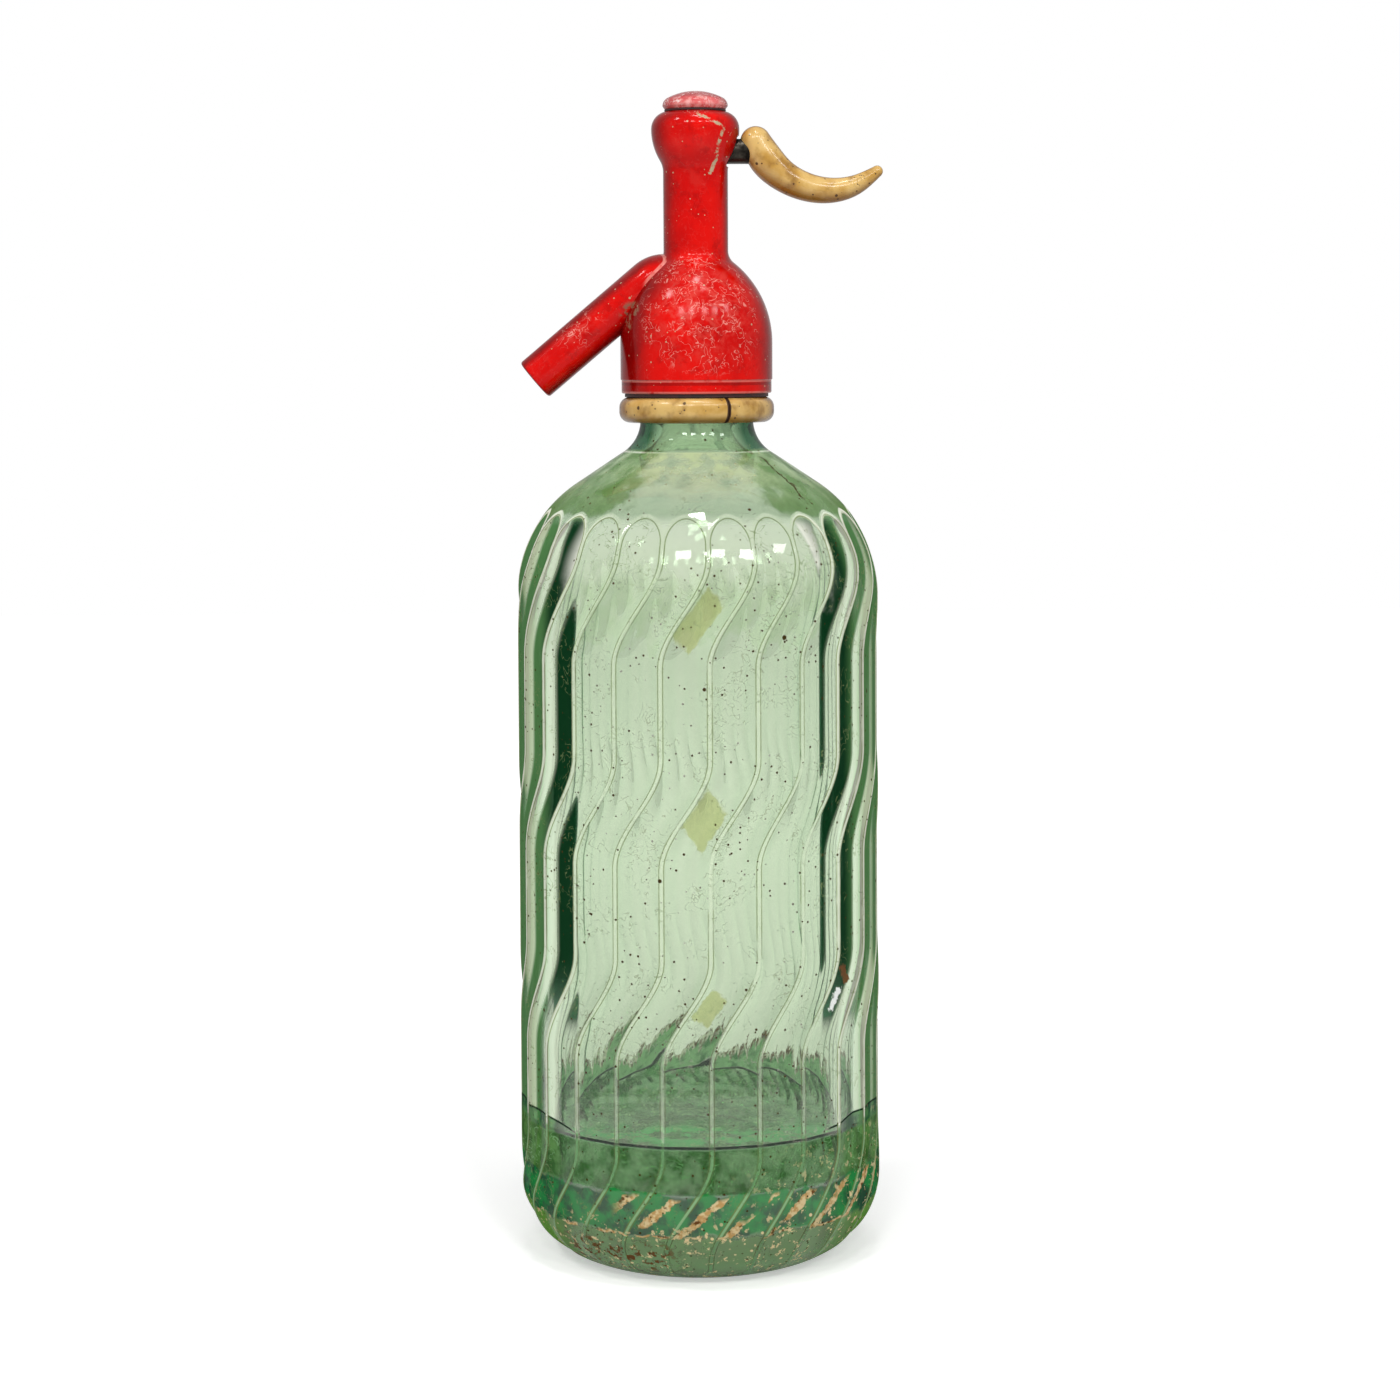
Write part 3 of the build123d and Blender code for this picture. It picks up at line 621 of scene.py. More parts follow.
@dataclass(frozen=True)
class PressedGlass:
    """Soda-lime bottle glass tinted by iron: pressed in a mould, a little wavy, with seeds and dark specks.

    Face on the wall is nearly colourless. Towards the sides a painted shade turns the inner half of each
    flute deep green, standing for light that has run a long way in the wall, and a painted light turns the
    outer half and the crests cream. The foot is stained: an emerald ring with tan bars, cream flecks and
    brown spots.
    """

    tint: str = "#E6E5DC"
    ridge: str = "#F2F4E2"
    # Colour of the painted light on the flutes and crests.
    cream: str = "#F2F5DA"
    # Deep green of the painted shade on the flutes and along the outline.
    deep: str = "#083419"
    # Colour of the painted shade line beside each crest.
    crest_shade_line: str = "#77834A"
    ridge_under_water: str = "#84B47A"
    murk: str = "#2C5C1E"
    clouded: str = "#5E9040"
    # Greens of the painted shade towards the sides.
    side: str = "#86A86C"
    side_shade: str = "#50804A"
    shade: str = "#5E8044"
    neck: str = "#B4CCA6"
    # Colour of the painted shade at the neck's sides and of its darker streaks.
    neck_shade_and_streaks: str = "#2C5A40"
    wet_far: str = "#98D494"
    wet_far_dark: str = "#46864A"
    # Colour of the painted light on the arch tops.
    painted_arch_light: str = "#F2F4E6"
    brown_patch: tuple = ((37.6, 83.5), (38.6, 79.5))
    # Place of the painted white glint.
    glint_patch: tuple = ((36.4, 77.5), (34.6, 73.5))
    wet: str = "#4E8A4A"
    film: str = "#D8E0A8"
    haze: str = "#E0E6D0"
    speck: str = "#3E3014"
    scratch: str = "#7E8C5C"
    lozenge: str = "#BCBF80"
    emerald: str = "#028A3C"
    emerald_dark: str = "#07452A"
    foot: str = "#6CA238"
    tan: str = "#C49A62"
    fleck: str = "#E0C99A"
    brown: str = "#6A4222"
    froth: str = "#FFFBEA"
    glare: str = "#FFFFFF"
    tide: str = "#0A2616"
    density: float = 0.065
    absorbed: str = "#8ED9A0"
    mirrored: str = "#E4ECE4"
    ior: float = 1.5
    water_line: float = 38.8
    dome: float = 179.7
    flutes: int = 24
    flute_pitch: float = 12.9
    fill_line: float = 218.3
    # Slant and place of the painted shade line on the shoulder.
    shade_line_slant: float = 1.1
    shade_line_place: float = 258.1
    lozenges: tuple = (
        ((0.2, 176.7), (7.6, 4.0), (2.9, 9.8)),
        ((1.5, 125.4), (6.8, 1.9), (0.8, 9.2)),
        ((2.6, 76.3), (5.4, 2.2), (0.8, 5.8)),
    )

    def material(self) -> Material:
        """Glass of the whole bottle: crests, deep flutes and foot outside, film and tide line inside."""
        wall = GlassWall(self.tint, self.dome)
        surface = wall.surface
        self.darken_sides(wall)
        shade = self.shade_shoulder(wall)
        self.tint_neck(wall)
        self.light_flutes(wall)
        self.cloud_water(wall)
        self.stain_lozenges(wall)
        self.tint_foot(wall)
        self.draw_crests(wall)
        self.stain_foot(wall)
        self.scatter_seeds(wall)
        self.dry_film(wall, shade)
        self.patch_side(wall)
        self.wet_inside(wall)
        wavy = surface.noise(7.0, detail=1.0, stretch=(1.0, 1.0, 3.0))
        return surface.close(
            surface.node("ShaderNodeVolumeAbsorption", {0: linear(self.absorbed), 1: self.density / MM}),
            Base_Color=wall.coat.colour,
            Roughness=0.0,
            IOR=self.ior,
            Specular_IOR_Level=0.0,
            Specular_Tint=linear(self.mirrored),
            Transmission_Weight=surface.without(surface.times(wall.coat.solid, 0.96)),
            Normal=surface.bump(wavy, 0.25, 0.35),
        )

    def darken_sides(self, wall: GlassWall) -> None:
        """Painted shade: green towards the sides, and deep green on the inner halves of the flutes and on the
        rim.
        """
        surface, aside = wall.surface, wall.aside
        barrel = surface.ramp(wall.height, 224.0, 200.0)
        # Painted shade: the barrel goes green where it turns away from the eye.
        sides = surface.times(surface.ramp(aside, 0.48, 0.66), barrel, wall.shown)
        wall.coat.lay(sides, self.side, solid=0.8)
        sway = surface.noise(8.0, detail=3.0, stretch=(1.0, 1.0, 4.0))
        fluted = surface.ramp(wall.height, 203.0, 199.0)
        bank = surface.times(surface.ramp(aside, 0.265, 0.29), fluted, surface.ramp(sway, 0.15, 0.42))
        inner = surface.times(surface.ramp(wall.tilt, -0.08, -0.03), bank, surface.ramp(wall.edge, 0.0, 0.7))
        rim = surface.either(surface.ramp(wall.own, 0.62, 0.8), surface.ramp(aside, 0.76, 0.88))
        low_fade = surface.either(surface.ramp(wall.height, 62.0, 88.0), surface.ramp(aside, 0.5, 0.6))
        deep = surface.times(surface.either(inner, surface.times(rim, barrel)), wall.shown, low_fade)
        # Painted shade: deep green on the inner halves of the flutes and along the outline.
        deepest_shade = surface.paint(self.side_shade, surface.ramp(aside, 0.56, 0.42), self.deep)
        wall.coat.lay(surface.ramp(deep, 0.0, 0.3), deepest_shade)
        wall.coat.hide(deep, 1.0)

    def shade_shoulder(self, wall: GlassWall):
        """Painted mottled shade down the flanks of the smooth shoulder, whose mask is returned, and a pale
        painted light on the arch tops that face the eye.
        """
        surface, height = wall.surface, wall.height
        mottled = {0: wall.mottle, 1: 0.3, 2: wall.flank}
        flank = surface.node("ShaderNodeMath", mottled, operation="MULTIPLY_ADD")
        radial = surface.noise(5.0, detail=3.0, turn=(2, 7), stretch=(1.0, 1.0, 7.0))
        streaked = surface.node("ShaderNodeMapRange", {0: radial, 1: 0.38, 2: 0.6, 3: 0.4, 4: 1.0})
        smooth = surface.times(surface.ramp(height, 200.0, 206.0), wall.shown)
        shade = surface.times(surface.ramp(flank, 0.2, 0.5), smooth, streaked)
        wall.coat.lay(surface.ramp(shade, 0.0, 0.3), self.shade)
        wall.coat.hide(shade, 0.6)
        # Painted light: a pale veil on the arch tops where they face the eye.
        painted_arch_light = surface.times(
            surface.ramp(wall.wavering(wall.mottle, 26.0), 191.0, 206.0),
            surface.ramp(height, 204.0, 200.0),
            surface.ramp(wall.aside, 0.4, 0.25),
            wall.shown,
        )
        wall.coat.lay(painted_arch_light, self.painted_arch_light, solid=0.3)
        return shade

    def tint_neck(self, wall: GlassWall) -> None:
        """Streaked neck above the fill line, with painted shade towards its sides, and the line itself."""
        surface, height, line = wall.surface, wall.height, self.fill_line
        neck = surface.times(surface.ramp(height, line + 0.2, line + 0.9), wall.shown)
        streaks = surface.times(surface.ramp(wall.streak, 0.52, 0.62), 0.5)
        # Painted shade towards the sides of the neck, with darker streaks.
        dark = surface.either(surface.ramp(wall.flank, 0.1, 0.42), streaks)
        wall.coat.lay(neck, surface.paint(self.neck, dark, self.neck_shade_and_streaks))
        wall.coat.hide(surface.times(neck, surface.either(0.22, surface.times(dark, 0.8))), 0.8)
        ring = surface.times(surface.band(height, line - 0.2, line + 0.15, 0.2), wall.shown)
        wall.coat.lay(ring, self.ridge, solid=0.35)

    def light_flutes(self, wall: GlassWall) -> None:
        """Painted cream light on the outer halves of the flutes towards the sides, and on the crests between
        them.
        """
        surface, aside = wall.surface, wall.aside
        outer = surface.times(
            surface.ramp(wall.tilt, -0.01, -0.1),
            surface.ramp(aside, 0.25, 0.45),
            surface.ramp(aside, 0.82, 0.72),
            surface.ramp(wall.height, 203.0, 199.0),
            0.55,
        )
        crests = surface.times(surface.band(wall.edge, -0.4, 0.5, 0.15), surface.ramp(aside, 0.12, 0.4), 0.85)
        wall.coat.lay(surface.times(surface.either(outer, crests), wall.shown), self.cream, solid=0.8)

    def cloud_water(self, wall: GlassWall) -> None:
        """Wet sides below the brim with its dark line, and murk with pale threads in front of the water."""
        surface, coat, aside = wall.surface, wall.coat, wall.aside
        brim = surface.node("ShaderNodeMapRange", {0: aside, 1: 0.28, 2: 0.5, 3: 40.6, 4: 43.2})
        gap = surface.less(wall.height, brim)
        wet = surface.times(surface.ramp(gap, 0.3, -0.3), surface.ramp(aside, 0.26, 0.46), wall.shown)
        wet_colour = surface.paint(self.wet, surface.cloud(5.0, 0.5, 0.12, detail=4.0), self.emerald_dark)
        coat.lay(wet, wet_colour, solid=0.7, cover=0.9)
        line = surface.times(surface.band(gap, -0.3, 0.3, 0.15), surface.ramp(aside, 0.27, 0.33), wall.shown)
        coat.lay(line, self.tide, solid=1.0)
        under = surface.times(surface.band(wall.height, 27.0, 38.9, 0.4), wall.shown)
        coat.lay(under, self.clouded, solid=0.3, cover=0.72)
        clouds = surface.cloud(7.0, 0.5, 0.12, detail=5.0, rough=0.65, turn=(6, 1))
        coat.lay(surface.times(under, clouds), self.murk, solid=0.45)
        threads = surface.times(under, 0.8, surface.squiggles(3.6, 0.016, 0.46, 8.0, turn=(5, 5)))
        coat.lay(threads, self.ridge_under_water, solid=0.5)

    def stain_lozenges(self, wall: GlassWall) -> None:
        """Three pale patches one above the other, kept off the crests."""
        surface = wall.surface
        patches = surface.either(*(surface.lozenge(*corners, 0.2) for corners in self.lozenges))
        patches = surface.times(patches, wall.shown, surface.ramp(wall.edge, 0.1, 0.4))
        wall.coat.lay(patches, self.lozenge, solid=0.3)

    def tint_foot(self, wall: GlassWall) -> None:
        """Emerald ring round the heel and a yellower green below it."""
        surface = wall.surface
        dark = surface.cloud(6.0, 0.5, 0.12, detail=5.0, rough=0.6)
        ring = surface.times(surface.band(wall.stain_height, 18.0, 29.5, 0.8), wall.shown)
        wall.coat.lay(ring, surface.paint(self.emerald, dark, self.emerald_dark), solid=0.85, cover=0.9)
        base = surface.times(surface.ramp(wall.stain_height, 18.8, 17.2), wall.shown)
        wall.coat.lay(base, self.foot, solid=0.4, cover=0.7)

    def draw_crests(self, wall: GlassWall) -> None:
        """Painted highlight along the crest between two flutes, with a broken dark line of painted shade
        beside it.
        """
        surface, edge = wall.surface, wall.edge
        broken = surface.ramp(surface.noise(9.0, detail=2.0), 0.25, 0.5)
        beside = surface.times(surface.band(edge, 0.1, 0.42, 0.12), wall.shown, broken)
        wall.coat.lay(beside, self.crest_shade_line, solid=0.35, cover=0.9)
        crest = surface.times(surface.ramp(edge, 0.12, -0.08), surface.ramp(edge, -1.1, -0.7), wall.shown)
        under_water = surface.times(surface.ramp(wall.height, 41.4, 40.4), 0.9)
        crest_colour = surface.paint(self.ridge, under_water, self.ridge_under_water)
        wall.coat.lay(crest, crest_colour, solid=0.25)

    def stain_foot(self, wall: GlassWall) -> None:
        """Slanted tan bars on the emerald ring, cream flecks and brown spots round the foot."""
        surface, coat, level = wall.surface, wall.coat, wall.stain_height
        bars = surface.times(
            surface.slanted_bars(self.flutes, self.flute_pitch, 1.2, 0.2, 0.46, 0.5),
            surface.band(level, 17.5, 28.5, 0.6),
            surface.cloud(13.0, 0.4, 0.02),
            surface.either(surface.ramp(wall.across, -24.0, -20.0), surface.ramp(wall.back, -8.0, 4.0)),
        )
        seam = surface.cloud(6.0, 0.53, 0.03, turn=(3, 9))
        seam = surface.times(surface.band(level, 17.5, 18.4, 0.3), seam)
        grain = surface.paint(self.tan, surface.cloud(1.4, 0.5, 0.1, detail=4.0), self.fleck)
        grain = surface.paint(grain, surface.cloud(2.0, 0.6, 0.05, detail=4.0, turn=(8, 2)), self.brown)
        coat.lay(surface.times(surface.either(bars, seam), wall.shown), grain, solid=0.95)
        crumbs = surface.cloud(2.4, 0.6, 0.02, detail=5.0, rough=0.7)
        flecks = surface.either(surface.specks(2.6, 0.6, 0.6), crumbs)
        damp = surface.times(surface.ramp(level, 54.0, 20.0), surface.ramp(wall.across, -2.0, 26.0))
        flecks = surface.times(flecks, surface.either(surface.ramp(level, 26.0, 18.0), damp), wall.shown)
        coat.lay(flecks, self.fleck, solid=1.0)
        spots = surface.times(
            surface.cloud(2.3, 0.54, 0.02, detail=4.0, rough=0.65, turn=(5, 11)),
            surface.band(wall.height, 3.5, 13.5, 1.5),
            surface.band(wall.across, -36.0, -6.0, 4.0),
            wall.shown,
        )
        coat.lay(spots, self.brown, solid=0.9)

    def scatter_seeds(self, wall: GlassWall) -> None:
        """Fine scratches, and dark seeds and specks of three sizes."""
        surface = wall.surface
        scratches = surface.times(surface.squiggles(3.4, 0.016, 0.52, 10.0), wall.shown)
        wall.coat.lay(scratches, self.scratch, solid=0.3, cover=0.6)
        small = surface.times(surface.specks(2.0, 0.42, 0.8), surface.cloud(19.0, 0.42, 0.04, detail=1.0))
        seeds = surface.either(small, surface.specks(3.6, 0.42, 0.8), surface.specks(11.0, 0.8, 0.5))
        wall.coat.lay(surface.times(seeds, wall.shown), self.speck, solid=1.0)

    def dry_film(self, wall: GlassWall, shade: Input) -> None:
        """Dried film on the shoulder where it isn't in the shade, and one slanting dark line of painted shade
        over it.
        """
        surface, height, line = wall.surface, wall.height, self.fill_line
        film = surface.times(
            surface.ramp(height, 202.0, line - 2.0),
            surface.cloud(5.0, 0.42, 0.2, detail=5.0),
            surface.ramp(height, line + 0.3, line),
            surface.without(shade),
            wall.shown,
        )
        wall.coat.lay(film, self.film, solid=0.45, cover=0.85)
        # Painted shade: one slanting dark line on the front right of the shoulder.
        slant = {0: height, 1: self.shade_line_slant, 2: wall.across}
        place = surface.node("ShaderNodeMath", slant, operation="MULTIPLY_ADD")
        place = surface.node("ShaderNodeMath", {0: wall.mottle, 1: 5.0, 2: place}, operation="MULTIPLY_ADD")
        thread = surface.times(
            surface.band(place, self.shade_line_place - 0.15, self.shade_line_place + 0.35, 0.25),
            surface.band(height, 206.0, line - 1.0, 1.0),
            surface.ramp(wall.streak, 0.3, 0.45),
            surface.ramp(wall.back, -4.0, -8.0),
            wall.shown,
        )
        wall.coat.lay(thread, self.speck, solid=1.0)

    def patch_side(self, wall: GlassWall) -> None:
        """Small brown patch, and a painted white glint under it, low on the right."""
        surface = wall.surface
        for ends, width, colour in ((self.brown_patch, 1.3, self.brown), (self.glint_patch, 1.5, self.glare)):
            wall.coat.lay(surface.times(surface.stroke(*ends, width), wall.shown), colour, solid=0.9)

    def wet_inside(self, wall: GlassWall) -> None:
        """Inside of the wall: haze high up, the wet far wall with froth on its edge, and the tide line."""
        surface, coat, height, line = wall.surface, wall.coat, wall.height, self.water_line
        ragged = surface.noise(7.0, detail=4.0, rough=0.65, stretch=(1.0, 1.0, 1.6))
        high = wall.wavering(ragged, 34.0)
        haze = surface.times(
            surface.ramp(high, 187.0, 188.5),
            surface.cloud(5.0, 0.4, 0.15, detail=4.0),
            surface.ramp(high, 222.0, 200.0),
            wall.inside,
        )
        coat.lay(haze, self.haze, solid=0.08)
        top_gap = surface.less(wall.wavering(ragged, -17.0), line - 3.4)
        far = surface.times(surface.ramp(height, line + 0.2, line + 0.6), surface.ramp(wall.back, 2.0, 12.0))
        far = surface.times(far, wall.inside)
        streaks = surface.noise(5.0, detail=4.0, rough=0.6, stretch=(2.5, 2.5, 0.5))
        wet_far = surface.paint(self.wet_far, surface.ramp(streaks, 0.46, 0.62), self.wet_far_dark)
        coat.lay(surface.times(surface.ramp(top_gap, 0.5, -0.5), far), wet_far, solid=0.8)
        bubbles = surface.cloud(2.0, 0.42, 0.08, detail=4.0)
        froth = surface.times(surface.band(top_gap, -0.9, 1.5, 0.5), bubbles, far)
        coat.lay(froth, self.froth, solid=0.85)
        coat.lay(surface.times(froth, surface.cloud(2.6, 0.5, 0.05, detail=4.0, turn=(4, 4))), self.brown)
        tide_line = surface.times(surface.band(height, line - 0.4, line + 0.4, 0.1), wall.inside)
        coat.lay(tide_line, self.tide, solid=1.0)


@dataclass(frozen=True)
class StaleWater:
    """Soda water that has stood in the bottle: clear, very slightly green, flat on top.

    Its sides lie a hair inside the glass wall, so the two steps in refraction come out as glass to water.
    """

    tint: str = "#DCF4DE"
    absorbed: str = "#43C271"
    density: float = 0.020
    ior: float = 1.333
    streak: str = "#48A048"
    # Colour of the painted light on the front of the water's top.
    bright: str = "#74F094"
    thread: str = "#C8E8B0"

    def material(self) -> Material:
        """Clear water with a faint ripple, a thin broken film on top, and painted light brightening the front
        of its top.
        """
        surface = Surface("stale_soda_water")
        inside = surface.node("ShaderNodeVolumeAbsorption", {0: linear(self.absorbed), 1: self.density / MM})
        ripple = surface.noise(18.0, detail=1.0)
        way = surface.node("ShaderNodeTexCoord", output=1)
        level = surface.ramp(surface.node("ShaderNodeSeparateXYZ", {0: way}, output=2), 0.7, 0.9)
        streaks = surface.cloud(9.0, 0.5, 0.1, detail=5.0, rough=0.6, stretch=(2.0, 1.0, 1.0))
        streaks = surface.times(level, streaks)
        threads = surface.times(level, surface.squiggles(4.0, 0.02, 0.46, 8.0))
        # Painted light: brighter patches on the front of the water's top.
        bright = surface.times(level, surface.ramp(surface.axis(1), -8.0, -26.0))
        bright = surface.times(bright, surface.cloud(8.0, 0.44, 0.12, detail=4.0, turn=(3, 3)))
        colour = surface.paint(self.tint, streaks, self.streak)
        colour = surface.paint(surface.paint(colour, bright, self.bright), threads, self.thread)
        film = surface.either(surface.times(streaks, 0.6), surface.times(bright, 0.85), threads)
        return surface.close(
            inside,
            Base_Color=colour,
            Roughness=0.0,
            IOR=self.ior,
            Transmission_Weight=surface.without(surface.times(film, 0.8)),
            Normal=surface.bump(ripple, 0.2, 0.4),
        )


@dataclass(frozen=True)
class ThinGlass:
    """Drawn tube of clear glass in water and gas: hardly any edge shows."""

    ior: float = 1.003
    clear: str = "#FFFFFF"
    haze: str = "#FAFCF8"

    def material(self) -> Material:
        """Clear glass with a faint grey-green tint."""
        surface = Surface("clear_tube_glass")
        haze = surface.cloud(14.0, 0.6, 0.1, detail=3.0)
        colour = surface.paint(self.clear, surface.times(haze, 0.5), self.haze)
        return surface.close(Base_Color=colour, Roughness=0.0, IOR=self.ior, Transmission_Weight=1.0)


@dataclass(frozen=True)
class Enamel:
    """Stove enamel on a zinc casting: glossy, with painted side shade, rubbed on the proud places with a
    painted sheen, chipped.
    """

    name: str = "red_stove_enamel"
    base: str = "#CC0503"
    bright: str = "#E40C04"
    dark: str = "#980605"
    # Dark red of the painted shade along the sides, on the left and in the band's groove.
    side: str = "#5E0404"
    # Rubbed paint, laid also as a painted sheen.
    rubbed: str = "#DC4C42"
    line: str = "#EFA79A"
    primer: str = "#BFA888"
    # Colour of the soiling and painted shade where the spout meets the head.
    soiling_and_shade: str = "#8A6A52"
    fade: float = 1.0
    worn_everywhere: float = 0.0
    proud: tuple = ((2.0, -18.0, 256.0, 21.0), (0.0, -8.0, 309.5, 5.0), (-33.0, -2.0, 254.0, 11.0))
    soiled_and_shaded_places: tuple = ((-8.0, -3.5, 266.0, 4.5), (-16.5, -8.0, 254.0, 5.0), (-11.0, -3.0, 261.0, 4.0))
    chip: tuple = ((0.6, 306.6), (7.4, 303.2), (6.0, 298.2), (5.4, 294.6), (3.8, 291.2))
    chip_width: float = 0.8
    rim_line: Point = (233.6, 234.2)
    band_height: float = 236.9
    band_clear: Point = (-21.6, -20.8)
    seam_height: float = 255.5
    seam_clear: Point = (-14.5, -12.5)

    def places(self, surface: Surface, balls: tuple):
        """Soft mask round several places: 1 at each x, y, z and 0 beyond its radius, in millimetres."""
        spots = [0.0]
        for ball in balls:
            between = {0: surface.place, 1: ball[:3]}
            away = surface.node("ShaderNodeVectorMath", between, output=1, operation="DISTANCE")
            spots.append(surface.ramp(away, ball[3], ball[3] * 0.3))
        return surface.either(*spots)

    def rubbed_places(self, surface: Surface, proud: Input):
        """Mask of the rubbed paint, also a painted sheen: mottled on the proud places, with a few stray
        patches elsewhere.
        """
        mottle = surface.noise(2.6, detail=5.0, rough=0.7, bend=0.4, turn=(12, 5))
        rub_and_sheen = surface.times(surface.ramp(mottle, 0.4, 0.64), proud, 0.55 * self.fade)
        stray = surface.times(surface.cloud(6.5, 0.62, 0.08, detail=5.0, rough=0.7, turn=(12, 5)), 0.16)
        return surface.either(rub_and_sheen, stray)

    def chipped_places(self, surface: Surface):
        """Mask of the specks, the small chips and the long chip down the bulb."""
        specks = surface.either(surface.specks(2.0, 0.3, 0.6), surface.specks(4.5, 0.5, 0.5))
        small = surface.cloud(2.6, 0.73, 0.015, detail=4.0, rough=0.7)
        ends = zip(self.chip, self.chip[1:])
        long = surface.either(*(surface.stroke(first, last, self.chip_width) for first, last in ends))
        long = surface.times(long, surface.cloud(1.8, 0.47, 0.05, detail=4.0, rough=0.7))
        return surface.either(surface.times(specks, 0.85), small, long)

    def trace_edges(self, surface: Surface, colour: Input):
        """Paints shade into the groove under the bell's band, and pale edges on band, rim and the spout's
        seam that are worn paint and painted highlight.
        """
        height, across, band = surface.axis(2), surface.axis(0), self.band_height
        beside_spout = surface.ramp(across, *self.band_clear)
        # Painted shade in the recess under the band.
        groove = surface.times(surface.band(height, band - 1.1, band - 0.3, 0.2), 0.5, beside_spout)
        colour = surface.paint(colour, groove, self.side)
        # Pale edges: worn paint and painted highlight.
        edge = surface.either(
            surface.band(height, band - 0.25, band + 0.35, 0.12),
            surface.band(height, *self.rim_line, 0.15),
        )
        edge = surface.times(edge, surface.cloud(2.8, 0.36, 0.14, detail=3.0), beside_spout, 0.35)
        seam = surface.times(
            surface.ramp(surface.field("root"), 0.3, 0.6),
            surface.ramp(height, self.seam_height, self.seam_height + 3.0),
            surface.cloud(3.0, 0.42, 0.12, detail=3.0),
            surface.ramp(across, *self.seam_clear),
            0.55,
        )
        return surface.paint(colour, surface.either(edge, seam), self.line)

    def material(self) -> Material:
        """Red with darker and brighter mottling, rubbed places with a painted sheen, painted shade at the
        sides and in the band's groove, pale scratches and edges, chips, soiling with painted shade at the
        spout's root, and specks.
        """
        surface = Surface(self.name)
        own = surface.turned_away()
        colour = surface.paint(self.base, surface.cloud(11.0, 0.52, 0.16, detail=4.0), self.bright)
        blotch = surface.times(surface.cloud(3.6, 0.6, 0.08, detail=4.0, rough=0.65), 0.4)
        colour = surface.paint(colour, blotch, self.dark)
        proud = surface.either(self.places(surface, self.proud), self.worn_everywhere)
        rub_and_sheen = self.rubbed_places(surface, proud)
        # Rubbed paint, which on the proud places is also a painted sheen.
        colour = surface.paint(colour, rub_and_sheen, self.rubbed)
        # Painted shade: darker towards the outline and down the left side, as if lit from the right.
        left = surface.times(surface.ramp(surface.axis(0), 4.0, -14.0), surface.ramp(own, 0.12, 0.5))
        sides = surface.either(surface.ramp(own, 0.3, 0.8), left)
        colour = surface.paint(colour, surface.times(sides, 0.75), self.side)
        lines = surface.squiggles(2.6, 0.016, 0.44, 6.0)
        lines = surface.times(lines, surface.either(surface.ramp(proud, 0.0, 0.4), 0.06))
        colour = surface.paint(colour, surface.times(lines, 0.6), self.line)
        # Soiling and painted shade where the spout meets the bell and the tower.
        soiling_and_shade_cloud = surface.cloud(2.0, 0.52, 0.04, detail=5.0, rough=0.7)
        soiled_and_shaded_places = surface.times(surface.ramp(self.places(surface, self.soiled_and_shaded_places), 0.0, 0.5), soiling_and_shade_cloud, 0.8)
        colour = self.trace_edges(surface, surface.paint(colour, soiled_and_shaded_places, self.soiling_and_shade))
        chips = self.chipped_places(surface)
        colour = surface.paint(colour, chips, self.primer)
        dull = surface.either(rub_and_sheen, surface.times(surface.noise(0.9, detail=2.0), 0.2))
        orange_peel = surface.noise(2.4, detail=1.0)
        bare = surface.bump(surface.either(chips, lines), 0.4, -0.06)
        return surface.close(
            Base_Color=colour,
            Roughness=surface.node("ShaderNodeMapRange", {0: dull, 3: 0.1, 4: 0.32}),
            IOR=1.5,
            Specular_IOR_Level=0.14,
            Normal=surface.bump(orange_peel, 0.2, 0.06, bare),
        )


@dataclass(frozen=True)
class AgedPlastic:
    """Early moulded plastic gone from cream to tan: glossy, painted brown shade underneath and at the
    outline, with flecks and cracks.
    """

    name: str = "cream_moulded_plastic"
    light: str = "#DCB66E"
    base: str = "#C0913F"
    brown: str = "#7C4E18"
    fleck: str = "#3E240C"
    crack_level: float = 0.68

    def material(self) -> Material:
        """Cream and tan clouds, painted brown shade along the underside and the outline, dark flecks, short
        cracks and the parting line.
        """
        surface = Surface(self.name)
        colour = surface.paint(self.base, surface.cloud(7.0, 0.46, 0.15, detail=4.0), self.light)
        browned = surface.times(surface.cloud(4.5, 0.6, 0.1, detail=5.0, turn=(7, 3)), 0.6)
        colour = surface.paint(colour, browned, self.brown)
        # Painted shade: brown on the underside and towards the outline.
        way = surface.node("ShaderNodeTexCoord", output=1)
        under = surface.ramp(surface.node("ShaderNodeSeparateXYZ", {0: way}, output=2), -0.1, -0.85)
        under = surface.either(surface.times(under, 0.75), surface.ramp(surface.turned_away(), 0.5, 0.92))
        colour = surface.paint(colour, under, self.brown)
        flecks = surface.either(surface.specks(1.7, 0.36, 0.8), surface.specks(4.0, 0.7, 0.7))
        cracks = surface.squiggles(3.0, 0.014, self.crack_level, 5.0)
        split = surface.ramp(surface.field("split"), 1.3, 0.9)
        moulded = surface.times(split, surface.ramp(surface.axis(2), 250.0, 245.0))
        marks = surface.either(surface.times(flecks, 0.9), cracks, moulded)
        colour = surface.paint(colour, marks, self.fleck)
        normal = surface.bump(surface.noise(5.0, detail=1.0), 0.2, 0.1, surface.bump(marks, 0.4, -0.06))
        return surface.close(
            Base_Color=colour,
            Roughness=surface.node("ShaderNodeMapRange", {0: marks, 3: 0.2, 4: 0.7}),
            IOR=1.54,
            Specular_IOR_Level=0.35,
            Normal=normal,
        )


